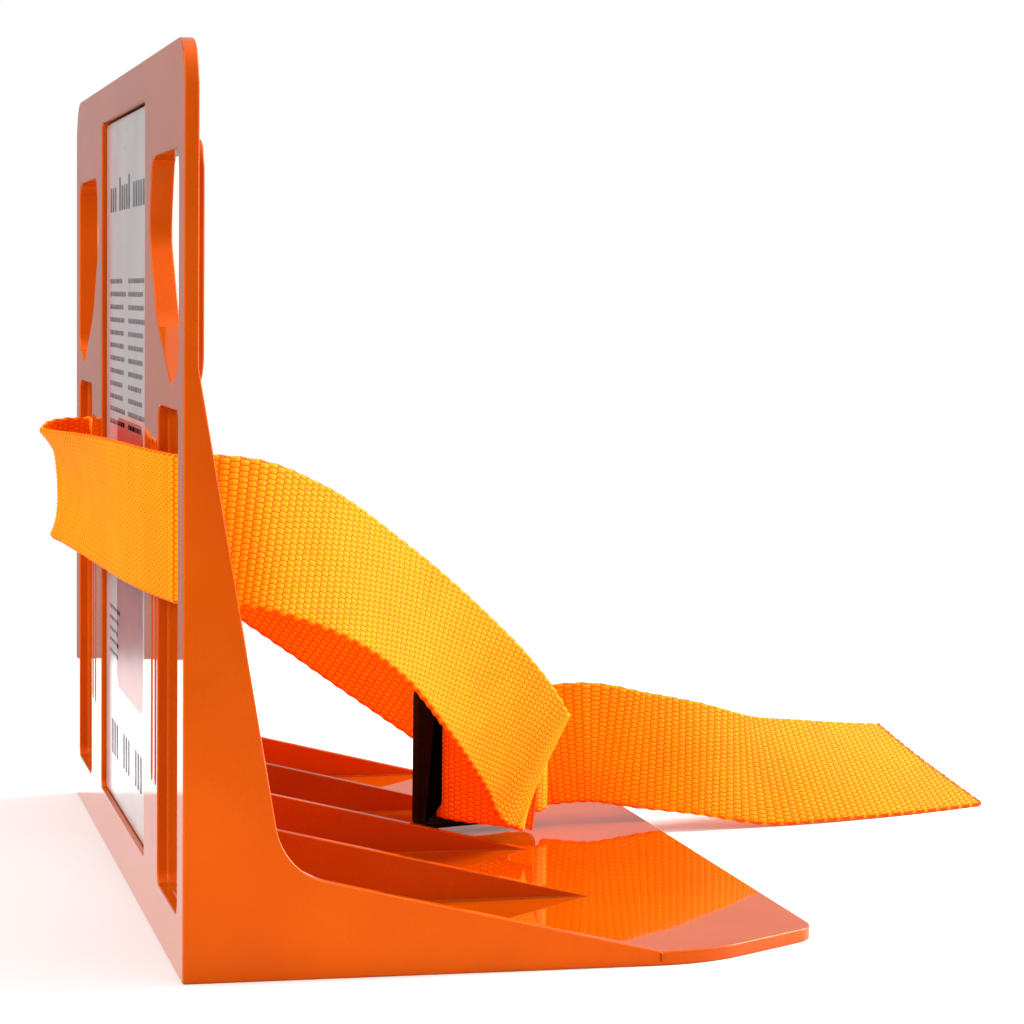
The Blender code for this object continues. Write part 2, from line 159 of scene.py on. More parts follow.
def make_floor():
    bm = bmesh.new()
    bmesh.ops.create_circle(bm, cap_ends=True, segments=96, radius=FLOOR_RADIUS)
    mesh = bpy.data.meshes.new("floor")
    bm.to_mesh(mesh)
    bm.free()
    floor = bpy.data.objects.new("floor", mesh)
    bpy.context.scene.collection.objects.link(floor)
    paint = bpy.data.materials.new("pale floor")
    paint.use_nodes = True
    shader = paint.node_tree.nodes["Principled BSDF"]
    shader.inputs["Base Color"].default_value = (0.76, 0.76, 0.76, 1)
    shader.inputs["Roughness"].default_value = 0.9
    shader.inputs["Specular IOR Level"].default_value = 0.1
    mesh.materials.append(paint)


make_world()
make_sun("key light", 8.6, 20, (-0.9, -0.2, -0.42))
make_sun("left light", 3.0, 40, (0.8, 0.18, -0.6))
make_sun("top light", 0.5, 70, (-0.1, 0.25, -1))
make_floor()
bpy.context.scene.view_settings.view_transform = "Standard"
print("studio ready")

# %% [markdown]
# ## Three small tools
# Every plastic and paper part starts as a flat outline with rounded corners, given a thickness. Geometry
# Nodes trees are built in the script too, with a named input for each size. A modifier's inputs are set
# through the socket's identifier, and the finished result becomes a plain mesh.

# %% Outlines and slabs
ARC_STEPS = 12


def rounded(corners, steps=ARC_STEPS):
    """Outline through corners of (x, y, radius), each rounded to its radius."""
    points = []
    for i, (x, y, radius) in enumerate(corners):
        here = Vector((x, y))
        if radius <= 0:
            points.append(here)
            continue
        to_last = (Vector(corners[i - 1][:2]) - here).normalized()
        to_next = (Vector(corners[(i + 1) % len(corners)][:2]) - here).normalized()
        half = to_last.angle(to_next) / 2
        centre = here + (to_last + to_next).normalized() * (radius / math.sin(half))
        start = here + to_last * (radius / math.tan(half)) - centre
        turn = math.pi - 2 * half
        side = 1 if to_last.x * to_next.y - to_last.y * to_next.x < 0 else -1
        for k in range(steps + 1):
            points.append(centre + Matrix.Rotation(side * turn * k / steps, 2) @ start)
    return points


def rectangle(low_x, high_x, low_y, high_y, radius):
    corners = ((low_x, low_y), (high_x, low_y), (high_x, high_y), (low_x, high_y))
    return [(x, y, radius) for x, y in corners]


PLANES = {
    "X": lambda x, y, depth: (depth, x, y),
    "Y": lambda x, y, depth: (x, depth, y),
    "Z": lambda x, y, depth: (x, y, depth),
}


def linked(name, mesh, group=None):
    obj = bpy.data.objects.new(name, mesh)
    (group or bpy.context.scene.collection).objects.link(obj)
    return obj


def slab(name, outline, axis, low, high, group=None):
    """A flat outline given thickness along an axis, from low to high."""
    bm = bmesh.new()
    face = bm.faces.new([bm.verts.new(PLANES[axis](x, y, low)) for x, y in outline])
    grown = bmesh.ops.extrude_face_region(bm, geom=[face])["geom"]
    move = Vector(PLANES[axis](0, 0, high - low))
    bmesh.ops.translate(bm, vec=move, verts=[v for v in grown if isinstance(v, bmesh.types.BMVert)])
    bmesh.ops.recalc_face_normals(bm, faces=bm.faces)
    mesh = bpy.data.meshes.new(name)
    bm.to_mesh(mesh)
    bm.free()
    return linked(name, mesh, group)


print("outline tools ready")

# %% Geometry Nodes tools
SOCKETS = {float: "NodeSocketFloat", int: "NodeSocketInt", bpy.types.Object: "NodeSocketObject"}


def new_tree(name, inputs):
    """A Geometry Nodes tree with a geometry in and out, and a named input of each kind given."""
    tree = bpy.data.node_groups.new(name, "GeometryNodeTree")
    tree.interface.new_socket("Geometry", in_out="INPUT", socket_type="NodeSocketGeometry")
    for label, kind in inputs.items():
        tree.interface.new_socket(label, in_out="INPUT", socket_type=SOCKETS[kind])
    tree.interface.new_socket("Geometry", in_out="OUTPUT", socket_type="NodeSocketGeometry")
    given = tree.nodes.new("NodeGroupInput")
    result = tree.nodes.new("NodeGroupOutput")
    return tree, given.outputs, result.inputs["Geometry"]


def node(tree, kind, settings=None, **wires):
    """A node with its settings, and each input either joined to a socket or set to a value."""
    made = tree.nodes.new(kind)
    for key, value in (settings or {}).items():
        setattr(made, key, value)
    for key, value in wires.items():
        if key.startswith("in_"):
            socket = made.inputs[int(key[3:])]
        else:
            socket = made.inputs[key.replace("_", " ")]
        if isinstance(value, bpy.types.NodeSocket):
            tree.links.new(value, socket)
        else:
            socket.default_value = value
    return made


def math_node(tree, operation, first, second=None, third=None):
    """One step of arithmetic, in a Geometry Nodes tree or in a material."""
    wires = {"in_0": first}
    if second is not None:
        wires["in_1"] = second
    if third is not None:
        wires["in_2"] = third
    return node(tree, "ShaderNodeMath", {"operation": operation}, **wires).outputs[0]


def finish_tree(tree, shape, result, paint):
    """Ends a tree as every tree here ends: real copies, smooth, with their material."""
    real = node(tree, "GeometryNodeRealizeInstances", Geometry=shape)
    smooth = node(tree, "GeometryNodeSetShadeSmooth", in_0=real.outputs[0])
    painted = node(tree, "GeometryNodeSetMaterial", Geometry=smooth.outputs[0], Material=paint)
    tree.links.new(painted.outputs[0], result)


def run_tree(obj, tree, values):
    """Adds the tree with its values, and swaps the object for the plain mesh that it makes."""
    modifier = obj.modifiers.new(tree.name, "NODES")
    modifier.node_group = tree
    for item in tree.interface.items_tree:
        if item.in_out == "INPUT" and item.name in values:
            modifier[item.identifier] = values[item.name]
    return settled(obj)


def settled(obj):
    """The object with its modifiers applied, as a plain mesh of the same name."""
    bpy.context.view_layer.update()
    graph = bpy.context.evaluated_depsgraph_get()
    mesh = bpy.data.meshes.new_from_object(obj.evaluated_get(graph), depsgraph=graph)
    name = obj.name
    bpy.data.objects.remove(obj)
    mesh.name = name
    return linked(name, mesh)


def points_object(name, points, normals=None, tangents=None):
    """Loose points for a tree to put copies on, each with the directions that a copy turns to."""
    mesh = bpy.data.meshes.new(name)
    mesh.from_pydata([tuple(p) for p in points], [], [])
    for label, vectors in (("facing", normals), ("heading", tangents)):
        if vectors is not None:
            stored = mesh.attributes.new(label, "FLOAT_VECTOR", "POINT")
            stored.data.foreach_set("vector", np.array(vectors, np.float32).ravel())
    return linked(name, mesh)


print("node tools ready")

# %% [markdown]
# ## Finishes: plastic
# The moulding is glossy where the mould was polished: the panel, the ribs' edges and the top of the base.
# Faces that look sideways are matt. Both finishes are one plastic with a strong orange body and fine specks.
# The polished one has the darker body, because its mirror adds so much light. The two also differ in
# roughness and in the bump. Specular Tint keeps the mirror's colour warm where it is seen straight on.

# %% Material helpers
def new_material(name, colour, roughness, specular=0.5):
    made = bpy.data.materials.new(name)
    made.use_nodes = True
    shader = made.node_tree.nodes["Principled BSDF"]
    shader.inputs["Base Color"].default_value = (*colour, 1)
    shader.inputs["Roughness"].default_value = roughness
    shader.inputs["Specular IOR Level"].default_value = specular
    return made, made.node_tree, shader


def noise(tree, scale, detail=2.0, vector=None, stretch=None):
    """A noise over the object's own coordinates, scale in cells a metre."""
    if vector is None:
        vector = node(tree, "ShaderNodeTexCoord").outputs["Object"]
    if stretch is not None:
        vector = node(tree, "ShaderNodeMapping", Vector=vector, Scale=stretch).outputs[0]
    made = node(tree, "ShaderNodeTexNoise", Vector=vector, Scale=scale, Detail=detail)
    return made.outputs["Fac"]


def between(tree, value, low, high, to_low=0.0, to_high=1.0):
    wires = {"in_0": value, "in_1": low, "in_2": high, "in_3": to_low, "in_4": to_high}
    return node(tree, "ShaderNodeMapRange", **wires).outputs[0]


def blended(tree, share, first, second):
    """A colour between two, by a share from 0 to 1."""
    mix = node(tree, "ShaderNodeMix", {"data_type": "RGBA"}, in_0=share)
    for socket, value in ((mix.inputs[6], first), (mix.inputs[7], second)):
        if isinstance(value, bpy.types.NodeSocket):
            tree.links.new(value, socket)
        else:
            socket.default_value = (*value, 1)
    return mix.outputs[2]


def bump(tree, shader, height, distance, after=None):
    wires = {"Height": height, "Distance": distance}
    if after is not None:
        wires["Normal"] = after
    made = node(tree, "ShaderNodeBump", **wires)
    tree.links.new(made.outputs[0], shader.inputs["Normal"])
    return made.outputs[0]


print("material helpers ready")

# %% Orange moulding, polished and matt
ORANGE = (0.45, 0.066, 0.0004)
DEEP_ORANGE = (0.38, 0.048, 0.0003)
SIDE_ORANGE = (0.63, 0.078, 0.0003)
DEEP_SIDE_ORANGE = (0.52, 0.057, 0.0002)
DUST = (0.22, 0.06, 0.02)
WARM_MIRROR = (1.0, 0.45, 0.12, 1)


def moulding_finish(name, colours, roughness, wave, grain, grain_size):
    made, tree, shader = new_material(name, colours[0], roughness, 0.45)
    shader.inputs["Specular Tint"].default_value = WARM_MIRROR
    cloud = noise(tree, 22.0, 3.0)
    specks = noise(tree, 1500.0, 1.0)
    body = blended(tree, between(tree, cloud, 0.35, 0.7), *colours)
    dusty = blended(tree, between(tree, specks, 0.77, 0.82, 0.0, 0.5), body, DUST)
    tree.links.new(dusty, shader.inputs["Base Color"])
    rough = between(tree, noise(tree, 60.0, 4.0), 0.3, 0.75, roughness * 0.75, roughness * 1.3)
    tree.links.new(rough, shader.inputs["Roughness"])
    waves = bump(tree, shader, noise(tree, 24.0, 1.0), wave)
    bump(tree, shader, noise(tree, grain_size, 2.0), grain, waves)
    return made


TOP_COLOURS, SIDE_COLOURS = (ORANGE, DEEP_ORANGE), (SIDE_ORANGE, DEEP_SIDE_ORANGE)
POLISHED = moulding_finish("orange moulding, polished", TOP_COLOURS, 0.035, 0.00006, 0.000001, 900.0)
MATT_SIDE = moulding_finish("orange moulding, matt side", SIDE_COLOURS, 0.42, 0.0002, 0.00006, 2200.0)
print("moulding finishes:", POLISHED.name, "and", MATT_SIDE.name)

# %% [markdown]
# ## The moulding
# On the real holder the panel, the base, five ribs, the raised frames round the holes and the recess for the
# label are one injection moulding. Here they are joined by Boolean unions and cut by Boolean differences,
# as in the frame, and then every edge gets a small radius: a mould has no sharp corner, and the bright line
# that runs along each edge is light caught by that radius. The ribs repeat, so Geometry Nodes place them.

# %% Sizes of the moulding
low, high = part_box("bracket")
WIDTH, HEIGHT, DEPTH = high.y - low.y, high.z - low.z, high.x - low.x
WALL = 3.0 * MM
FRONT_X, BACK_X, SIDE_Y = low.x, low.x + WALL, WIDTH / 2
PANEL_CORNER_R, PANEL_FOOT_R = 11 * MM, 1.5 * MM
TAPER_START, TAPER_START_R, TAPER_INSET, TAPER_END_R = 110 * MM, 35 * MM, 19.5 * MM, 9 * MM
RIB_COUNT, RIB_THICK, RIB_TOP_Z, RIB_REACH = 5, 2.8 * MM, 124 * MM, 100 * MM
RIB_KNEE_X, RIB_KNEE_Z, RIB_KNEE_R = 20.6 * MM, 22 * MM, 14 * MM
LABEL_RECESS, LABEL_MARGIN, LABEL_R = 2.1 * MM, 0.5 * MM, 1.5 * MM
COLLAR_WALL, COLLAR_RISE = 2.0 * MM, 2.0 * MM
CHANNEL_INSET, CHANNEL_WIDTH, CHANNEL_LOW_Z, CHANNEL_HIGH_Z = 10 * MM, 36 * MM, 12 * MM, 115 * MM
CHANNEL_R, CHANNEL_DEPTH = 3 * MM, 2.4 * MM
SLOT_Y, SLOT_WIDTH, SLOT_LOW_Z, SLOT_HIGH_Z = SIDE_Y - 25 * MM, 4.0 * MM, 40 * MM, 112 * MM
SPARE_SLOT_INSETS, SPARE_SLOT_WIDTH = (49.5 * MM, 56.5 * MM), 3.2 * MM
SPARE_SLOT_LOW_Z, SPARE_SLOT_HIGH_Z = 33 * MM, 107 * MM
TAPE_NAMES, TAPE_R, TAPE_ROOM, GLUE_GAP = ("hook_tape_front", "hook_tape_rear"), 2 * MM, 0.5 * MM, 0.3 * MM
EDGE_R = 0.4 * MM
HAND_HOLE = (
    (9.5 * MM, 168 * MM, 5 * MM),
    (58 * MM, 168 * MM, 5 * MM),
    (64 * MM, 152 * MM, 9 * MM),
    (49 * MM, 133 * MM, 16 * MM),
    (23 * MM, 119.5 * MM, 7 * MM),
    (9.5 * MM, 124 * MM, 5 * MM),
)
print(f"moulding {WIDTH * 1000:.0f} x {DEPTH * 1000:.0f} x {HEIGHT * 1000:.0f} mm")

# %% Outlines of the moulding
def base_outline():
    free, start = FRONT_X + DEPTH, FRONT_X + TAPER_START
    return rounded([
        (FRONT_X, -SIDE_Y, 0),
        (start, -SIDE_Y, TAPER_START_R),
        (free, -SIDE_Y + TAPER_INSET, TAPER_END_R),
        (free, SIDE_Y - TAPER_INSET, TAPER_END_R),
        (start, SIDE_Y, TAPER_START_R),
        (FRONT_X, SIDE_Y, 0),
    ])


def panel_outline():
    foot, head = PANEL_FOOT_R, PANEL_CORNER_R
    return rounded([(-SIDE_Y, 0, foot), (SIDE_Y, 0, foot), (SIDE_Y, HEIGHT, head), (-SIDE_Y, HEIGHT, head)])


def rib_outline():
    inside = WALL / 3
    return rounded([
        (FRONT_X + inside, inside, 0),
        (FRONT_X + RIB_REACH, inside, 0),
        (FRONT_X + RIB_REACH, WALL, 0),
        (FRONT_X + RIB_KNEE_X, RIB_KNEE_Z, RIB_KNEE_R),
        (BACK_X, RIB_TOP_Z, 0),
        (FRONT_X + inside, RIB_TOP_Z, 0),
    ])


def hand_hole_outline(side, margin=0.0):
    hole = rounded([(side * (SIDE_Y - inset), z, radius) for inset, z, radius in HAND_HOLE])
    centre = sum(hole, Vector((0, 0))) / len(hole)
    out = []
    for i, point in enumerate(hole):
        along = (hole[(i + 1) % len(hole)] - hole[i - 1]).normalized()
        normal = Vector((along.y, -along.x))
        out.append(point + normal * (margin if normal.dot(point - centre) > 0 else -margin))
    return out


def channel_outline(side, margin=0.0):
    outer = side * (SIDE_Y - CHANNEL_INSET + margin)
    inner = side * (SIDE_Y - CHANNEL_INSET - CHANNEL_WIDTH - margin)
    low_z, high_z = CHANNEL_LOW_Z - margin, CHANNEL_HIGH_Z + margin
    return rounded(rectangle(min(outer, inner), max(outer, inner), low_z, high_z, CHANNEL_R))


def slot_outline(y, width, low_z, high_z):
    return rounded(rectangle(y - width / 2, y + width / 2, low_z, high_z, width * 0.45))


def label_recess_outline(margin=0.0):
    low_corner, high_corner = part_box("label")
    room = LABEL_MARGIN + margin
    low_y, high_y = low_corner.y - room, high_corner.y + room
    low_z, high_z = low_corner.z - room, high_corner.z + room
    return rounded(rectangle(low_y, high_y, low_z, high_z, LABEL_R + LABEL_MARGIN))


print("outlines ready")

# %% The ribs, placed by Geometry Nodes
def rib_tree():
    """Copies of one rib in a row across the moulding, the outer two flush with its sides."""
    tree, given, result = new_tree("rib row", {"Rib": bpy.types.Object, "Count": int, "Reach": float})
    reach = given["Reach"]
    start = node(tree, "ShaderNodeCombineXYZ", Y=math_node(tree, "MULTIPLY", reach, -1.0))
    end = node(tree, "ShaderNodeCombineXYZ", Y=reach)
    line = node(tree, "GeometryNodeMeshLine", {"mode": "END_POINTS"}, Count=given["Count"])
    tree.links.new(start.outputs[0], line.inputs["Start Location"])
    tree.links.new(end.outputs[0], line.inputs["Offset"])
    rib = node(tree, "GeometryNodeObjectInfo", Object=given["Rib"])
    copies = node(tree, "GeometryNodeInstanceOnPoints", Points=line.outputs[0])
    tree.links.new(rib.outputs["Geometry"], copies.inputs["Instance"])
    finish_tree(tree, copies.outputs[0], result, POLISHED)
    return tree


def make_ribs(group):
    rib = slab("one_rib", rib_outline(), "Y", -RIB_THICK / 2, RIB_THICK / 2)
    row = linked("ribs", bpy.data.meshes.new("ribs"))
    row = run_tree(row, rib_tree(), {"Rib": rib, "Count": RIB_COUNT, "Reach": SIDE_Y - RIB_THICK / 2})
    row.data.shade_flat()
    bpy.data.objects.remove(rib)
    bpy.context.scene.collection.objects.unlink(row)
    group.objects.link(row)
    print(RIB_COUNT, "ribs,", len(row.data.polygons), "faces")


# %% Join, cut and round the moulding
def apply_boolean(obj, operation, group):
    modifier = obj.modifiers.new(operation.lower(), "BOOLEAN")
    modifier.operation = operation
    modifier.operand_type = "COLLECTION"
    modifier.collection = group
    modifier.solver = "EXACT"


def add_solids(group):
    slab("base_plate", base_outline(), "Z", 0, WALL, group)
    make_ribs(group)
    seat = FRONT_X + WALL / 2
    slab("label_pad", label_recess_outline(COLLAR_WALL), "X", seat, BACK_X + LABEL_RECESS, group)
    for side in (-1, 1):
        slab(f"collar_{side}", hand_hole_outline(side, COLLAR_WALL), "X", seat, BACK_X + COLLAR_RISE, group)
        slab(f"pad_{side}", channel_outline(side, COLLAR_WALL), "X", seat, BACK_X + CHANNEL_DEPTH, group)


def add_cutters(group):
    through = (FRONT_X - WALL, BACK_X + 2 * CHANNEL_DEPTH)
    slab("label_recess", label_recess_outline(), "X", FRONT_X - WALL, FRONT_X + LABEL_RECESS, group)
    for side in (-1, 1):
        slab(f"hole_{side}", hand_hole_outline(side), "X", *through, group)
        slab(f"channel_{side}", channel_outline(side), "X", FRONT_X - WALL, FRONT_X + CHANNEL_DEPTH, group)
        slot = slot_outline(side * SLOT_Y, SLOT_WIDTH, SLOT_LOW_Z, SLOT_HIGH_Z)
        slab(f"slot_{side}", slot, "X", *through, group)
        for i, inset in enumerate(SPARE_SLOT_INSETS):
            y = side * (SIDE_Y - inset)
            spare = slot_outline(y, SPARE_SLOT_WIDTH, SPARE_SLOT_LOW_Z, SPARE_SLOT_HIGH_Z)
            slab(f"spare_{side}_{i}", spare, "X", *through, group)
    for name in TAPE_NAMES:
        low_corner, high_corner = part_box(name)
        low_x, high_x = low_corner.x - TAPE_ROOM, high_corner.x + TAPE_ROOM
        low_y, high_y = low_corner.y - TAPE_ROOM, high_corner.y + TAPE_ROOM
        pocket = rounded(rectangle(low_x, high_x, low_y, high_y, TAPE_R + TAPE_ROOM))
        slab("pocket_" + name, pocket, "Z", -WALL, high_corner.z + GLUE_GAP, group)


def remove_group(group):
    for obj in list(group.objects):
        bpy.data.objects.remove(obj)
    bpy.data.collections.remove(group)


def make_moulding():
    added, cut = bpy.data.collections.new("added"), bpy.data.collections.new("cut")
    for group in (added, cut):
        bpy.context.scene.collection.children.link(group)
    body = slab("moulding", panel_outline(), "X", FRONT_X, BACK_X)
    add_solids(added)
    add_cutters(cut)
    apply_boolean(body, "UNION", added)
    apply_boolean(body, "DIFFERENCE", cut)
    body = settled(body)
    remove_group(added)
    remove_group(cut)
    bm = bmesh.new()
    bm.from_mesh(body.data)
    bmesh.ops.remove_doubles(bm, verts=bm.verts, dist=2e-6)
    bmesh.ops.dissolve_limit(bm, angle_limit=math.radians(0.4), verts=bm.verts, edges=bm.edges)
    bm.to_mesh(body.data)
    bm.free()
    rounding = body.modifiers.new("moulded edges", "BEVEL")
    rounding.width = EDGE_R
    rounding.segments = 3
    rounding.limit_method = "ANGLE"
    rounding.angle_limit = math.radians(35)
    rounding.use_clamp_overlap = False
    even = body.modifiers.new("even shading", "WEIGHTED_NORMAL")
    even.keep_sharp = True
    body.data.shade_smooth()
    body = settled(body)
    body.data.materials.clear()
    body.data.materials.append(POLISHED)
    body.data.materials.append(MATT_SIDE)
    for face in body.data.polygons:
        face.material_index = 1 if abs(face.normal.y) > 0.5 else 0
    return body


moulding = make_moulding()
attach(moulding, "holder")
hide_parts("bracket")
print("moulding:", len(moulding.data.polygons), "faces")

# %% [markdown]
# ## The label
# A glossy printed sheet lies in the recess of the panel. Its print here is generic: a title line, blocks of
# small print, a picture of a holder and three groups of marks, with no lettering. Each mark is a thin patch
# of ink on the sheet. Geometry Nodes set the marks out in rows, each word with its own length.

# %% Label materials
PAPER = (0.44, 0.385, 0.385)
INK = (0.055, 0.05, 0.06)


def label_finish():
    made, tree, shader = new_material("printed label sheet", PAPER, 0.16, 0.5)
    tint = blended(tree, between(tree, noise(tree, 30.0, 3.0), 0.3, 0.7), PAPER, (0.38, 0.335, 0.34))
    grime = between(tree, noise(tree, 420.0, 1.0), 0.74, 0.8, 0.0, 0.7)
    tree.links.new(blended(tree, grime, tint, (0.2, 0.12, 0.09)), shader.inputs["Base Color"])
    bump(tree, shader, noise(tree, 24.0, 1.0), 0.0007)
    return made


def ink_finish(name, colour, second):
    made, tree, shader = new_material(name, colour, 0.25, 0.5)
    shade = blended(tree, between(tree, noise(tree, 120.0, 2.0), 0.35, 0.65), colour, second)
    tree.links.new(shade, shader.inputs["Base Color"])
    bump(tree, shader, noise(tree, 24.0, 1.0), 0.0007)
    return made


LABEL_PAPER = label_finish()
BLACK_INK = ink_finish("black print", INK, (0.09, 0.08, 0.09))
PICTURE_INK = ink_finish("picture print", (0.33, 0.06, 0.045), (0.22, 0.05, 0.06))
print("label materials ready")

# %% The label sheet and its print
LABEL_LOW, LABEL_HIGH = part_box("label")
LABEL_FACE_X = LABEL_LOW.x
INK_THICK = 0.03 * MM


def make_label_sheet():
    outline = rounded(rectangle(LABEL_LOW.y, LABEL_HIGH.y, LABEL_LOW.z, LABEL_HIGH.z, LABEL_R))
    sheet = slab("label_sheet", outline, "X", LABEL_FACE_X, LABEL_HIGH.x)
    sheet.data.materials.append(LABEL_PAPER)
    return sheet


def word_tree():
    """A row of small bars for each point, wide as its own size attribute says."""
    tree, given, result = new_tree("printed words", {"Bar": bpy.types.Object})
    size = node(tree, "GeometryNodeInputNamedAttribute", {"data_type": "FLOAT_VECTOR"}, Name="facing")
    bar = node(tree, "GeometryNodeObjectInfo", Object=given["Bar"])
    copies = node(tree, "GeometryNodeInstanceOnPoints", Points=given["Geometry"])
    tree.links.new(bar.outputs["Geometry"], copies.inputs["Instance"])
    tree.links.new(size.outputs[0], copies.inputs["Scale"])
    finish_tree(tree, copies.outputs[0], result, BLACK_INK)
    return tree


def text_block(left, top, width, line_height, lines, seed):
    """Words of a block as (x, z, width, height), from the label's top left corner seen from the front."""
    random = np.random.default_rng(seed)
    words = []
    for line in range(lines):
        x = left
        end = left + width * (0.72 + 0.28 * random.random())
        while x < end:
            length = min(line_height * random.uniform(0.9, 3.4), end - x)
            if length > line_height * 0.3:
                z = top + line_height * (1.65 * line + 0.5)
                words.append((x + length / 2, z, length, line_height * 0.62))
            x += length + line_height * 0.45
    return words


def make_label_print():
    random = np.random.default_rng(4)
    words = []
    for k in range(15):  # title: tall marks of even weight, with two word spaces
        if k not in (3, 9):
            tall = 8.2 if random.random() < 0.35 else 6.0
            words.append(((11 + 5.3 * k) * MM, (19 - tall / 2 + 3) * MM, 3.4 * MM, tall * MM))
    for column, seed in ((9, 11), (52, 23)):
        words += text_block(column * MM, 38 * MM, 38 * MM, 1.9 * MM, 12, seed)
    words += text_block(9 * MM, 119 * MM, 26 * MM, 1.7 * MM, 5, 31)
    for group in range(3):
        for digit in range(3):
            words.append(((16 + 27 * group + 5.6 * digit) * MM, 152 * MM, 3.6 * MM, 8.5 * MM))
    points = [(LABEL_FACE_X, LABEL_HIGH.y - x, LABEL_HIGH.z - z) for x, z, _, _ in words]
    sizes = [(1, width, height) for _, _, width, height in words]
    bar = slab("bar", rounded(rectangle(-0.5, 0.5, -0.5, 0.5, 0.12), 2), "X", -INK_THICK, INK_THICK)
    marks = run_tree(points_object("label_print", points, sizes), word_tree(), {"Bar": bar})
    bpy.data.objects.remove(bar)
    return marks


def make_label_picture():
    """A small picture of an upright holder with two hand holes, printed on the sheet."""
    middle = (LABEL_LOW.y + LABEL_HIGH.y) / 2 - 6 * MM
    foot, top = LABEL_HIGH.z - 138 * MM, LABEL_HIGH.z - 72 * MM
    panel = rounded(rectangle(middle - 29 * MM, middle + 29 * MM, foot, top, 5 * MM))
    picture = slab("label_picture", panel, "X", LABEL_FACE_X - INK_THICK, LABEL_FACE_X + INK_THICK)
    holes = bpy.data.collections.new("picture holes")
    bpy.context.scene.collection.children.link(holes)
    for side in (-1, 1):
        y = middle + side * 17 * MM
        hole = rectangle(y - 8 * MM, y + 8 * MM, top - 22 * MM, top - 6 * MM, 3 * MM)
        slab(f"picture_hole_{side}", rounded(hole), "X", LABEL_FACE_X - MM, LABEL_FACE_X + MM, holes)
    apply_boolean(picture, "DIFFERENCE", holes)
    picture = settled(picture)
    remove_group(holes)
    picture.data.materials.append(PICTURE_INK)
    return picture


label_pieces = [make_label_sheet(), make_label_print(), make_label_picture()]
for piece in label_pieces:
    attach(piece, "holder")
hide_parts("label")
print("label:", sum(len(p.data.polygons) for p in label_pieces), "faces")

# %% [markdown]
# ## The webbing's route
# The strap is one band of webbing. It starts folded round the buckle's middle bar and runs forward to the
# near slot. It crosses the front of the panel, comes back through the far slot, passes round a bar of the
# buckle and leaves it as a loose tail.
# Its route is a list of stations, each a point with the direction of the band's upper edge. A smooth curve
# through them, measured along its length, gives every place on the band as a distance along and across.
# Stations are written from whatever they lie close to: a slot, the buckle, the floor or the panel's face.

# %% Stations of the route
STRAP_WIDTH, STRAP_THICK = 30 * MM, 1.5 * MM
STRAP_SLOT_Z = 90 * MM
END_SLANT, TAIL_CLEAR = 19 * MM, 0.7 * MM
BUCKLE_TURN = math.radians(19)
BUCKLE_LENGTH, BUCKLE_RAIL, BUCKLE_BAR = 35 * MM, 2.6 * MM, 5.5 * MM
BUCKLE_THICK, BUCKLE_PLAY = 4.5 * MM, 0.5 * MM
BUCKLE_SLOT = STRAP_WIDTH + 2 * BUCKLE_PLAY
BUCKLE_HEIGHT = BUCKLE_SLOT + 2 * BUCKLE_RAIL
BUCKLE_AT = sum(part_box("buckle"), Vector()) / 2


def buckle_frame():
    """From the buckle's own frame to the object's: x along it, y across its bars, z out of its face."""
    along = Vector((math.cos(BUCKLE_TURN), math.sin(BUCKLE_TURN), 0))
    out = Vector((math.sin(BUCKLE_TURN), -math.cos(BUCKLE_TURN), 0))
    return Matrix.Translation(BUCKLE_AT) @ Matrix((along, Vector((0, 0, 1)), out)).transposed().to_4x4()


def from_panel(x, y_share, z, lean_x, lean_y, lean_z):
    """x from the panel's front face; y_share is 1 at the far slot and -1 at the near one."""
    return (FRONT_X + x * MM, y_share * SLOT_Y, z * MM, *Vector((lean_x, lean_y, lean_z)).normalized())


def at_slot(side, x, y, z=0.0):
    """Beside a slot: x from the panel's front face, y from the slot towards the middle."""
    return (FRONT_X + x * MM, side * (SLOT_Y - y * MM), STRAP_SLOT_Z + z * MM, 0, 0, 1)


def at_buckle(along, out, drop=0.0, lean=(0, 0, 1)):
    """In the buckle's frame: along it from the middle bar, and out of its face."""
    return (*(buckle_frame() @ Vector((along * MM, -drop * MM, out * MM))), *Vector(lean).normalized())


def on_floor(x, y, lean_y):
    """The tail stands on its lower edge and leans back by lean_y."""
    up = math.sqrt(1 - lean_y**2)
    z = TAIL_CLEAR + STRAP_WIDTH / 2 * up + STRAP_THICK / 2 * lean_y
    return (FRONT_X + x * MM, BUCKLE_AT.y + y * MM, z, 0, lean_y, up)


SEWN_END = [
    at_buckle(1.7, 27.5, lean=(0.25, -0.1, 0.96)),
    at_buckle(0.6, 23.5, lean=(0.18, -0.05, 0.98)),
    at_buckle(-0.6, 19.6, lean=(0.1, 0, 0.99)),
    at_buckle(1.6, 13.5),
    at_buckle(4.6, 7),
    at_buckle(5.4, 2),
    at_buckle(5.2, -2),
    at_buckle(2.6, -4.3),
    at_buckle(-3, -4.5),
    at_buckle(-8.4, -4.2),
    at_buckle(-10.2, -1.5),
    at_buckle(-10.3, 2.5),
    at_buckle(-9.4, 7.5),
    at_buckle(-6.8, 13.6),
    at_buckle(-2.9, 20.3, lean=(0.1, 0, 0.99)),
]
NEAR_RUN = [
    from_panel(101, 0.005, 22.7, 0.25, -0.1, 0.96),
    from_panel(101.5, -0.072, 23.5, 0.38, -0.12, 0.92),
    from_panel(98, -0.154, 25.5, 0.42, -0.1, 0.9),
    from_panel(92.5, -0.256, 33, 0.36, -0.05, 0.93),
    from_panel(75, -0.487, 52, 0.1, 0.08, 0.99),
    from_panel(57, -0.672, 68.5, -0.08, 0.2, 0.97),
    from_panel(33, -0.88, 83.5, -0.1, 0.15, 0.98),
    from_panel(17, -0.975, 89, -0.05, 0.05, 1),
]
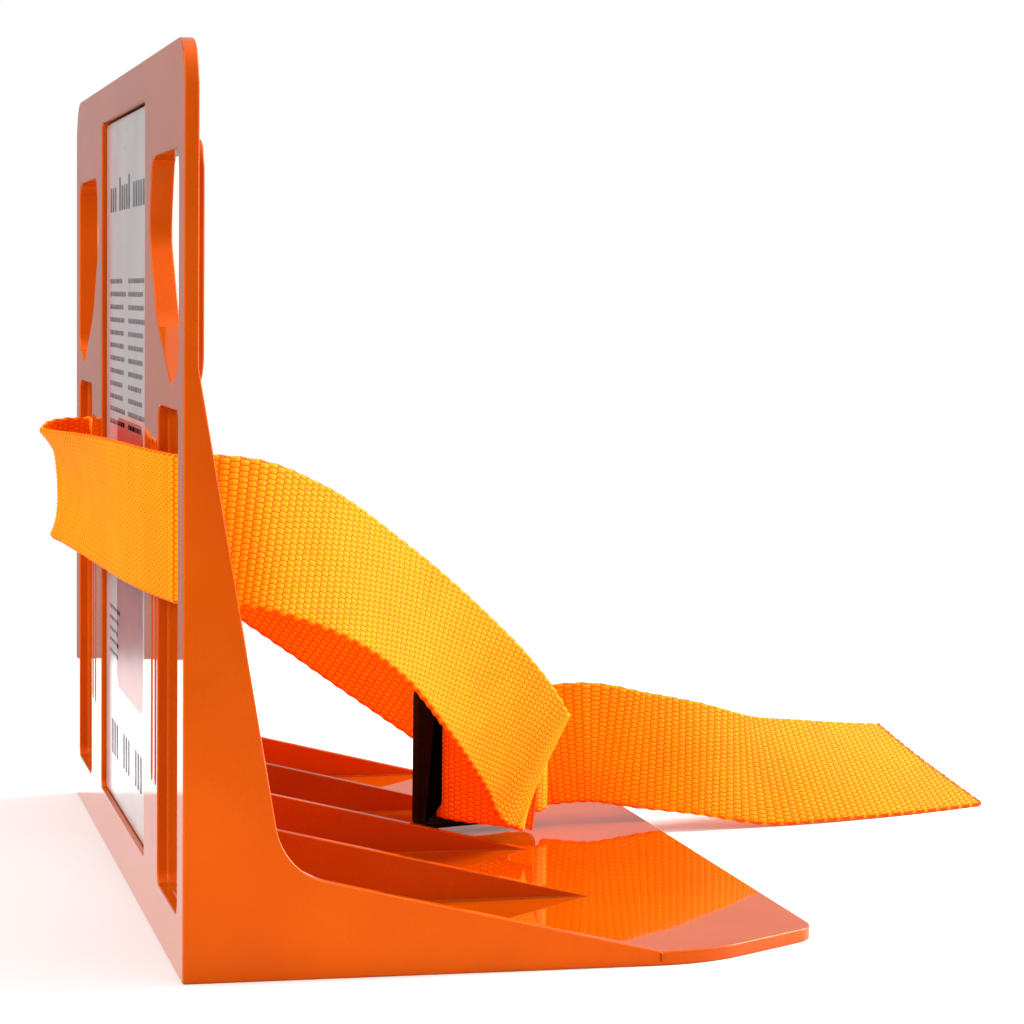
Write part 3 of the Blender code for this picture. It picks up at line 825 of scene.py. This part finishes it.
FRONT_LOOP = [
    at_slot(-1, 7.5, 0),
    at_slot(-1, 3.6, 0),
    at_slot(-1, 1.6, 1),
    at_slot(-1, 1.1, 3.6),
    at_slot(-1, -1.15, 20.8),
    at_slot(-1, -1.7, 25),
    from_panel(-3.4, -0.54, 90, 0, 0, 1),
    from_panel(-5.2, -0.13, 89.7, -0.03, 0, 1),
    from_panel(-7.6, 0.28, 89.5, -0.08, 0, 1),
    from_panel(-10, 0.62, 89.3, -0.12, 0, 1),
    from_panel(-10.8, 0.79, 89.3, -0.1, 0, 1),
    from_panel(-9.6, 0.86, 89.6, -0.05, 0, 1),
    at_slot(1, -6, 8.3),
    at_slot(1, 0.3, 2.3),
    at_slot(1, 2.4, 0.3),
    at_slot(1, 7.5, 0),
]
FAR_RUN = [
    from_panel(14, 0.998, 87.5, 0.12, 0, 0.99),
    from_panel(30, 0.985, 77, 0.36, 0, 0.93),
    from_panel(52.5, 0.925, 62, 0.47, 0, 0.88),
    from_panel(76, 0.81, 45.5, 0.49, 0, 0.87),
    from_panel(94, 0.67, 33, 0.42, 0, 0.9),
    at_buckle(20.6, -22, drop=-2.5, lean=(0.2, 0, 0.98)),
    at_buckle(19.8, -13),
    at_buckle(15.6, -7.2),
    at_buckle(11.4, -4.2),
    at_buckle(9.8, -0.5),
    at_buckle(10.2, 3.2),
    at_buckle(12.8, 4.9),
    at_buckle(17, 4.7),
    at_buckle(19.9, 1.9),
    at_buckle(21.2, -1.6, lean=(0, 0.06, 1)),
]
TAIL = [
    from_panel(125, 0.39, 23.4, -0.04, 0.18, 0.97),
    from_panel(140, 0.4, 20.8, 0, 0.3, 0.95),
    from_panel(155, 0.415, 18.2, 0, 0.4, 0.92),
    on_floor(173, 16.5, 0.5),
    on_floor(190, 21.5, 0.62),
    on_floor(207, 28, 0.71),
    on_floor(224, 35.5, 0.77),
    on_floor(237.5, 42, 0.79),
]
STATIONS = np.array(SEWN_END + NEAR_RUN + FRONT_LOOP + FAR_RUN + TAIL, float)
print(len(STATIONS), "stations")

# %% The band as distances along and across
FINE_STEPS = 40


def smooth_through(points, steps):
    """A smooth curve through the points, with the same number of steps in each stretch."""
    chord = np.linalg.norm(np.diff(points[:, :3], axis=0), axis=1)
    slope = np.diff(points, axis=0) / chord[:, None]
    tangent = np.empty_like(points)
    tangent[0], tangent[-1] = slope[0], slope[-1]
    before, after = chord[:-1, None], chord[1:, None]
    tangent[1:-1] = (slope[:-1] * after + slope[1:] * before) / (before + after)
    t = (np.arange(steps) / steps)[:, None]
    rows = [
        (2 * t**3 - 3 * t**2 + 1) * points[i]
        + (t**3 - 2 * t**2 + t) * length * tangent[i]
        + (3 * t**2 - 2 * t**3) * points[i + 1]
        + (t**3 - t**2) * length * tangent[i + 1]
        for i, length in enumerate(chord)
    ]
    return np.concatenate([*rows, points[-1:]])


def unit(vectors):
    return vectors / np.linalg.norm(vectors, axis=-1, keepdims=True)


ROUTE = smooth_through(STATIONS, FINE_STEPS)
ALONG = np.concatenate([[0], np.cumsum(np.linalg.norm(np.diff(ROUTE[:, :3], axis=0), axis=1))])
STATION_ALONG = ALONG[::FINE_STEPS]
STRAP_LENGTH = ALONG[-1]
HEADING = unit(np.gradient(ROUTE[:, :3], ALONG, axis=0))
ACROSS = unit(ROUTE[:, 3:] - (ROUTE[:, 3:] * HEADING).sum(1)[:, None] * HEADING)


def band_frame(s):
    """Middle, heading, upward and facing directions of the band at distances s along it."""
    def read(table):
        return np.stack([np.interp(s, ALONG, table[:, k]) for k in range(3)], axis=-1)

    heading, upward = unit(read(HEADING)), unit(read(ACROSS))
    return read(ROUTE[:, :3]), heading, upward, unit(np.cross(heading, upward))


print(f"strap {STRAP_LENGTH:.3f} m long, {STRAP_WIDTH * 1000:.0f} mm wide")

# %% [markdown]
# ## The weave
# Webbing is woven with thick warp yarns along its length. Each yarn floats over a weft thread, dives, and
# comes up beside its neighbour, so the face is a brickwork of small ovals. One formula gives their height:
# half a sine along each column and half a sine across each row, with every second column shifted by half a
# row. The same few Math nodes serve twice: in Geometry Nodes, where they push the surface out, and in the
# material, where they paint shade into the gaps as a deep red and leave the tops bright. A little orange-red
# emission is painted light: it keeps the faces that the lamps leave in shade deep red instead of dark.
#
# In the loose loop in front of the panel the band's middle sinks toward the panel, while its edges stay
# nearly in place, so its section curls like a shallow cup. The curl fades in and out along the loop.

# %% One formula for the weave
COLUMN_PITCH = 2.05 * MM
ROW_PITCH = 1.2 * MM
RELIEF = 0.28 * MM
SCALLOP = 0.22 * MM
WEFT_SHIFT = 100 * ROW_PITCH + ROW_PITCH / 2


def weave_height(tree, along, across, column_pitch, row_pitch):
    """Height of the floats from 0 in the gaps to 1 on their tops."""
    column = math_node(tree, "DIVIDE", along, column_pitch)
    number = math_node(tree, "FLOOR", column)
    odd = math_node(tree, "FLOORED_MODULO", number, 2.0)
    row = math_node(tree, "MULTIPLY_ADD", odd, 0.5, math_node(tree, "DIVIDE", across, row_pitch))
    length_share = math_node(tree, "SUBTRACT", column, number)
    width_share = math_node(tree, "SUBTRACT", row, math_node(tree, "FLOOR", row))
    heights = []
    for share, power in ((length_share, 0.6), (width_share, 0.9)):
        wave = math_node(tree, "SINE", math_node(tree, "MULTIPLY", share, math.pi))
        heights.append(math_node(tree, "POWER", math_node(tree, "MAXIMUM", wave, 0.0), power))
    return math_node(tree, "MULTIPLY", *heights)


print(f"floats every {COLUMN_PITCH * 1000} mm along and {ROW_PITCH * 1000} mm across")

# %% Webbing material
WEB_TOP = (1.0, 0.29, 0.002)
# The next colour is painted shade, the darker red of the gaps between the floats.
WEB_GAP_SHADE = (0.56, 0.035, 0.0005)
WEB_WORN = (0.98, 0.25, 0.002)
WEB_SEALED = (0.55, 0.07, 0.002)
# The next colour is painted light: an orange-red glow that keeps the band's shaded faces red.
PAINTED_GLOW = (1.0, 0.035, 0.0, 1)


def webbing_finish():
    made, tree, shader = new_material("orange webbing", WEB_TOP, 0.7, 0.06)
    shader.inputs["Specular Tint"].default_value = (1.0, 0.6, 0.2, 1)
    # Painted light: a weak orange-red emission lifts the band's shaded faces.
    shader.inputs["Emission Color"].default_value = PAINTED_GLOW
    shader.inputs["Emission Strength"].default_value = 0.3
    uv = node(tree, "ShaderNodeUVMap", {"uv_map": "band"}).outputs[0]
    parts = node(tree, "ShaderNodeSeparateXYZ", in_0=uv)
    along, across = parts.outputs["X"], parts.outputs["Y"]
    height = weave_height(tree, along, across, COLUMN_PITCH, ROW_PITCH)
    tops = blended(tree, between(tree, noise(tree, 90.0, 3.0), 0.3, 0.7), WEB_TOP, WEB_WORN)
    # Painted shade: the gaps between the floats take the darker red, the tops the bright orange.
    body = blended(tree, between(tree, height, 0.0, 0.45), WEB_GAP_SHADE, tops)
    place = math_node(tree, "FLOORED_MODULO", across, WEFT_SHIFT)
    reach = math_node(tree, "MULTIPLY_ADD", place, END_SLANT / STRAP_WIDTH, along)
    sealed = between(tree, reach, STRAP_LENGTH - 1.6 * MM, STRAP_LENGTH - 0.5 * MM)
    tree.links.new(blended(tree, sealed, body, WEB_SEALED), shader.inputs["Base Color"])
    yarn = noise(tree, 1.0, 3.0, uv, (900.0, 9000.0, 1.0))
    felt = bump(tree, shader, yarn, 0.00006)
    bump(tree, shader, height, 0.00008, felt)
    return made


WEBBING = webbing_finish()
print("webbing finish:", WEBBING.name)

# %% The plain band
ROWS = round(STRAP_WIDTH / ROW_PITCH)
ACROSS_POINTS = 2 * ROWS + 1
ALONG_STEP = COLUMN_PITCH / 4
CUP, CUP_SHIFT = 0.65, 0.85  # curl of a half width in radians, and the share of its rise that sinks
LEAST_CURL = 1e-4
LOOP_FIRST = len(SEWN_END) + len(NEAR_RUN)
CUP_PLACES = [STATION_ALONG[LOOP_FIRST + k] for k in (6, 10, 12)]


def ring_places():
    """Points round the band's section as (across, side), each from -1 to 1: up one face, down the other."""
    across = np.linspace(-1, 1, ACROSS_POINTS)
    face = [(t, 1.0) for t in across]
    back = [(t, -1.0) for t in across[::-1]]
    return np.array([*face, (1.0, 0.0), *back, (-1.0, 0.0)])


def cup_angle(s):
    """The curl of a half width, in radians: next to nothing except in the loose loop."""
    share = np.abs(np.interp(s, CUP_PLACES, (-1, 0, 1)))
    return np.maximum(CUP * (1 - 3 * share**2 + 2 * share**3), LEAST_CURL)


def band_points(start, end):
    """Every point of a stretch of band, ring by ring, with its distances along and across."""
    steps = max(8, round((end - start) / ALONG_STEP))
    s = np.linspace(start, end, steps + 1)
    ring = ring_places()
    half = STRAP_WIDTH / 2 + SCALLOP / 2 * np.cos(np.pi * s / COLUMN_PITCH)
    across = ring[None, :, 0] * half[:, None]
    share = (ring[:, 0] + 1) / 2
    along = np.minimum(s[:, None], STRAP_LENGTH - END_SLANT * share[None, :])
    core = STRAP_THICK / 2 - RELIEF * 0.75
    bulge = np.where(np.abs(ring[:, 1]) < 0.5, core, 0.0) * ring[:, 0]
    middle, _, upward, facing = band_frame(along)
    curl = cup_angle(along)
    turn = curl * across / half[:, None]
    sine, cosine = np.sin(turn), np.cos(turn)
    radius = half[:, None] / curl
    side = (ring[:, 1] * core)[None, :]
    up_by = radius * sine + bulge * cosine + side * sine
    inward = CUP_SHIFT * (1 - np.cos(curl))
    out_by = radius * (cosine - 1 + inward) - bulge * sine + side * cosine
    return middle + upward * up_by[..., None] + facing * out_by[..., None], along, across


def make_band(name, start, end):
    points, along, across = band_points(start, end)
    rings, count = points.shape[:2]
    bm = bmesh.new()
    uv = bm.loops.layers.uv.new("band")
    layers = [bm.verts.layers.float.new(label) for label in ("along", "across", "woven")]
    verts = [bm.verts.new(p) for p in points.reshape(-1, 3)]
    back = np.arange(count) > ACROSS_POINTS
    shifted = across + STRAP_WIDTH / 2 + np.where(back, WEFT_SHIFT, 0.0)[None, :]
    for k, vert in enumerate(verts):
        i, j = divmod(k, count)
        woven = 0.0 if j in (ACROSS_POINTS, count - 1) else 1.0
        for layer, value in zip(layers, (along[i, j], shifted[i, j], woven)):
            vert[layer] = value

    def add(corners):
        face = bm.faces.new([verts[i * count + j % count] for i, j in corners])
        turned = any(back[j % count] for _, j in corners)
        for loop, (i, j) in zip(face.loops, corners):
            place = across[i, j % count] + STRAP_WIDTH / 2 + (WEFT_SHIFT if turned else 0.0)
            loop[uv].uv = (along[i, j % count], place)

    for i in range(rings - 1):
        for j in range(count):
            add([(i, j), (i, j + 1), (i + 1, j + 1), (i + 1, j)])
    mesh = bpy.data.meshes.new(name)
    for i in (0, rings - 1):
        for j in range(ACROSS_POINTS - 1):
            mirror = 2 * ACROSS_POINTS - j
            corners = [(i, j), (i, j + 1), (i, mirror - 1), (i, mirror)]
            add(corners[::-1] if i else corners)
        for edge in (ACROSS_POINTS, count - 1):
            corners = [(i, edge - 1), (i, edge), (i, edge + 1)]
            add(corners[::-1] if i else corners)
    bmesh.ops.remove_doubles(bm, verts=bm.verts, dist=1e-6)
    bmesh.ops.recalc_face_normals(bm, faces=bm.faces)
    bm.to_mesh(mesh)
    bm.free()
    return linked(name, mesh)


# %% Weaving it with Geometry Nodes
def weave_tree():
    """Pushes the band's surface out along its normals by the height of the floats."""
    tree, given, result = new_tree(
        "brick weave", {"Column pitch": float, "Row pitch": float, "Relief": float}
    )

    def stored(label):
        return node(tree, "GeometryNodeInputNamedAttribute", {"data_type": "FLOAT"}, Name=label).outputs[0]

    pitches = given["Column pitch"], given["Row pitch"]
    height = weave_height(tree, stored("along"), stored("across"), *pitches)
    relief = math_node(tree, "MULTIPLY", height, given["Relief"])
    lift = math_node(tree, "MULTIPLY", relief, stored("woven"))
    normal = node(tree, "GeometryNodeInputNormal")
    offset = node(tree, "ShaderNodeVectorMath", {"operation": "SCALE"}, in_0=normal.outputs[0])
    tree.links.new(lift, offset.inputs["Scale"])
    moved = node(tree, "GeometryNodeSetPosition", Geometry=given["Geometry"], Offset=offset.outputs[0])
    finish_tree(tree, moved.outputs[0], result, WEBBING)
    return tree


WEAVE = weave_tree()
NEAR_SPLIT = STATION_ALONG[len(SEWN_END) + len(NEAR_RUN) + 2]
FAR_SPLIT = STATION_ALONG[len(SEWN_END) + len(NEAR_RUN) + len(FRONT_LOOP) - 2]
STRETCHES = {
    "strap_buckle_end": (0.0, NEAR_SPLIT),
    "strap_front_loop": (NEAR_SPLIT, FAR_SPLIT),
    "strap_adjusting_end": (FAR_SPLIT, STRAP_LENGTH),
}
for name, (start, end) in STRETCHES.items():
    woven = run_tree(
        make_band(name, start, end),
        WEAVE,
        {"Column pitch": COLUMN_PITCH, "Row pitch": ROW_PITCH, "Relief": RELIEF},
    )
    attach(woven, "strap")
    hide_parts("webbing")
    print(name, f"{end - start:.3f} m,", len(woven.data.polygons), "faces")

# %% [markdown]
# ## Stitches
# The short end of the webbing is folded round the middle bar and sewn down to the run beside it. A box of
# small stitches shows on each face. Each stitch is a point with the face's direction and the seam's
# direction, and Geometry Nodes turn a little thread to both: first its Z axis, then its X axis round that.

# %% Stitches
STITCH_LENGTH, STITCH_R, STITCH_GAP = 2.0 * MM, 0.22 * MM, 0.7 * MM
SEAM_START, SEAM_END, SEAM_EDGE = 2.5 * MM, 11.5 * MM, 3.0 * MM


def stitch_shape():
    """A short thread along X with rounded ends."""
    bm = bmesh.new()
    bmesh.ops.create_icosphere(bm, subdivisions=1, radius=1.0)
    bmesh.ops.scale(bm, vec=(STITCH_LENGTH / 2, STITCH_R * 1.3, STITCH_R), verts=bm.verts)
    mesh = bpy.data.meshes.new("stitch")
    bm.to_mesh(mesh)
    bm.free()
    return linked("stitch", mesh)


def thread_finish():
    made, tree, shader = new_material("orange thread", (0.95, 0.2, 0.003), 0.5, 0.2)
    tone = between(tree, noise(tree, 1200.0, 2.0), 0.3, 0.7)
    dyed = blended(tree, tone, (0.95, 0.22, 0.003), (0.8, 0.12, 0.002))
    tree.links.new(dyed, shader.inputs["Base Color"])
    return made


THREAD = thread_finish()


def stitch_tree():
    tree, given, result = new_tree("stitches", {"Stitch": bpy.types.Object})
    turned = None
    for label, axis in (("facing", "Z"), ("heading", "X")):
        vector = node(tree, "GeometryNodeInputNamedAttribute", {"data_type": "FLOAT_VECTOR"}, Name=label)
        align = node(tree, "FunctionNodeAlignRotationToVector", {"axis": axis}, Vector=vector.outputs[0])
        if turned is not None:
            align.pivot_axis = "Z"
            tree.links.new(turned, align.inputs["Rotation"])
        turned = align.outputs[0]
    stitch = node(tree, "GeometryNodeObjectInfo", Object=given["Stitch"])
    copies = node(tree, "GeometryNodeInstanceOnPoints", Points=given["Geometry"], Rotation=turned)
    tree.links.new(stitch.outputs["Geometry"], copies.inputs["Instance"])
    finish_tree(tree, copies.outputs[0], result, THREAD)
    return tree


def seam_places():
    """A box of stitches as distances along and across, each with 1 if it runs along the band."""
    step = STITCH_LENGTH + STITCH_GAP
    edge = STRAP_WIDTH / 2 - SEAM_EDGE
    rows = np.arange(-edge + step / 2, edge, step)
    columns = np.arange(SEAM_START + step / 2, SEAM_END, step)
    box = [(s, t, 0) for s in (SEAM_START, SEAM_END) for t in rows]
    return box + [(s, t, 1) for s in columns for t in (-edge, edge)]


def make_stitches():
    points, normals, tangents = [], [], []
    for s, t, lengthwise in seam_places():
        middle, heading, upward, facing = (v[0] for v in band_frame(np.array([s])))
        for side in (-1, 1):
            points.append(middle + upward * t + facing * side * (STRAP_THICK / 2 - STITCH_R * 0.3))
            normals.append(facing * side)
            tangents.append(heading if lengthwise else upward)
    stitch = stitch_shape()
    places = points_object("strap_seam", points, normals, tangents)
    seam = run_tree(places, stitch_tree(), {"Stitch": stitch})
    bpy.data.objects.remove(stitch)
    print("seam of", len(points), "stitches")
    return seam


seam = make_stitches()
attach(seam, "strap")

# %% [markdown]
# ## The buckle
# A three-bar slide in black plastic: the webbing is sewn round its middle bar, and its free end passes over
# the right-hand bar. It is cut from an outline with two slots, and a wide bevel turns its square bars into
# the smooth ones of a moulded buckle. Fine noise in the roughness gives the bars their dull, handled look.

# %% Buckle
def buckle_finish():
    made, tree, shader = new_material("black buckle plastic", (0.005, 0.002, 0.002), 0.45, 0.1)
    cloud = between(tree, noise(tree, 260.0, 3.0), 0.35, 0.7)
    tone = blended(tree, cloud, (0.004, 0.002, 0.002), (0.007, 0.004, 0.004))
    tree.links.new(tone, shader.inputs["Base Color"])
    rough = between(tree, noise(tree, 700.0, 3.0), 0.3, 0.7, 0.28, 0.5)
    tree.links.new(rough, shader.inputs["Roughness"])
    bump(tree, shader, noise(tree, 2200.0, 2.0), 0.00003)
    return made


BUCKLE_BLACK = buckle_finish()
BUCKLE_SLOT_R, BUCKLE_EDGE = 0.9 * MM, 1.1 * MM


def make_buckle():
    half_l, half_h, half_t = BUCKLE_LENGTH / 2, BUCKLE_HEIGHT / 2, BUCKLE_THICK / 2
    holes = bpy.data.collections.new("buckle slots")
    bpy.context.scene.collection.children.link(holes)
    outline = rounded(rectangle(-half_l, half_l, -half_h, half_h, BUCKLE_RAIL), 8)
    body = slab("buckle_body", outline, "Z", -half_t, half_t)
    inner, half_bar, half_slot = half_l - BUCKLE_BAR, BUCKLE_BAR / 2, BUCKLE_SLOT / 2
    for i, (start, end) in enumerate(((-inner, -half_bar), (half_bar, inner))):
        hole = rounded(rectangle(start, end, -half_slot, half_slot, BUCKLE_SLOT_R), 6)
        slab(f"buckle_slot_{i}", hole, "Z", -BUCKLE_THICK, BUCKLE_THICK, holes)
    apply_boolean(body, "DIFFERENCE", holes)
    body = settled(body)
    remove_group(holes)
    bm = bmesh.new()
    bm.from_mesh(body.data)
    bmesh.ops.remove_doubles(bm, verts=bm.verts, dist=1e-6)
    bmesh.ops.dissolve_limit(bm, angle_limit=math.radians(0.4), verts=bm.verts, edges=bm.edges)
    bm.to_mesh(body.data)
    bm.free()
    rounding = body.modifiers.new("round bars", "BEVEL")
    rounding.width = BUCKLE_EDGE
    rounding.segments = 5
    rounding.limit_method = "ANGLE"
    rounding.angle_limit = math.radians(50)
    rounding.use_clamp_overlap = False
    body.modifiers.new("even shading", "WEIGHTED_NORMAL")
    body.data.shade_smooth()
    body = settled(body)
    body.data.transform(buckle_frame())
    body.data.materials.append(BUCKLE_BLACK)
    return body


buckle = make_buckle()
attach(buckle, "buckle_frame")
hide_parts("buckle")
print("buckle:", len(buckle.data.polygons), "faces")

# %% [markdown]
# ## Hook tape
# Two strips of hook tape lie flush in pockets under the base and hold it to the carpet. A strip is a woven
# backing with a field of tiny nylon hooks. One hook is a short bent filament, and Geometry Nodes set out the
# field on a grid.

# %% Hook tape
def tape_finish():
    made, tree, shader = new_material("black hook tape", (0.013, 0.013, 0.014), 0.6, 0.3)
    cloud = between(tree, noise(tree, 500.0, 2.0), 0.35, 0.7)
    tone = blended(tree, cloud, (0.009, 0.009, 0.01), (0.03, 0.03, 0.032))
    tree.links.new(tone, shader.inputs["Base Color"])
    bump(tree, shader, noise(tree, 1800.0, 2.0), 0.0001)
    return made


TAPE_BLACK = tape_finish()
HOOK_PITCH = 1.9 * MM
HOOK_R, HOOK_BEND_R = 0.14 * MM, 0.26 * MM
HOOK_DEPTH = 0.62 * MM
FILAMENT_SIDES = 3
FIELD_MARGIN = 1.2 * MM


def hook_shape():
    """One filament: down from the backing, round, and part of the way up again."""
    line = [Vector((0, 0, HOOK_DEPTH - HOOK_BEND_R))]
    for k in range(5):
        turn = math.pi * 1.2 * k / 4
        line.append(Vector((1 - math.cos(turn), 0, 1 - math.sin(turn))) * HOOK_BEND_R)
    bm = bmesh.new()
    rings = []
    for i, point in enumerate(line):
        ahead = (line[min(i + 1, len(line) - 1)] - line[max(i - 1, 0)]).normalized()
        side = Vector((0, 1, 0))
        other = ahead.cross(side)
        angles = [math.tau * k / FILAMENT_SIDES for k in range(FILAMENT_SIDES)]
        corners = [(side * math.cos(a) + other * math.sin(a)) * HOOK_R for a in angles]
        rings.append([bm.verts.new(point + corner) for corner in corners])
    for first, second in zip(rings, rings[1:]):
        for k in range(FILAMENT_SIDES):
            after = (k + 1) % FILAMENT_SIDES
            bm.faces.new([first[k], first[after], second[after], second[k]])
    bm.faces.new(rings[0][::-1])
    bm.faces.new(rings[-1])
    bmesh.ops.recalc_face_normals(bm, faces=bm.faces)
    mesh = bpy.data.meshes.new("hook")
    bm.to_mesh(mesh)
    bm.free()
    return linked("hook", mesh)


def hook_field_tree():
    """A grid of hooks over the strip's face, joined to the strip."""
    tree, given, result = new_tree(
        "hook field",
        {"Hook": bpy.types.Object, "Width": float, "Length": float, "Columns": int, "Rows": int},
    )
    grid = node(
        tree, "GeometryNodeMeshGrid",
        Size_X=given["Width"], Size_Y=given["Length"],
        Vertices_X=given["Columns"], Vertices_Y=given["Rows"],
    )
    hook = node(tree, "GeometryNodeObjectInfo", Object=given["Hook"])
    copies = node(tree, "GeometryNodeInstanceOnPoints", Points=grid.outputs[0])
    tree.links.new(hook.outputs["Geometry"], copies.inputs["Instance"])
    both = node(tree, "GeometryNodeJoinGeometry")
    tree.links.new(copies.outputs[0], both.inputs[0])
    tree.links.new(given["Geometry"], both.inputs[0])
    finish_tree(tree, both.outputs[0], result, TAPE_BLACK)
    return tree


HOOK_FIELD = hook_field_tree()


def make_tape(name):
    low_corner, high_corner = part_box(name)
    middle = (low_corner + high_corner) / 2
    width, length = high_corner.x - low_corner.x, high_corner.y - low_corner.y
    outline = rounded(rectangle(-width / 2, width / 2, -length / 2, length / 2, TAPE_R), 4)
    backing = slab(name + "_strip", outline, "Z", HOOK_DEPTH - 0.1 * MM, high_corner.z)
    hook = hook_shape()
    columns, rows = (round((size - 2 * MM) / HOOK_PITCH) for size in (width, length))
    tape = run_tree(backing, HOOK_FIELD, {
        "Hook": hook,
        "Width": width - 2 * FIELD_MARGIN,
        "Length": length - 2 * FIELD_MARGIN,
        "Columns": columns,
        "Rows": rows,
    })
    bpy.data.objects.remove(hook)
    tape.data.transform(Matrix.Translation((middle.x, middle.y, 0)))
    print(name, columns * rows, "hooks")
    return tape


for name in TAPE_NAMES:
    tape = make_tape(name)
    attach(tape, "holder")
    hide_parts(name)
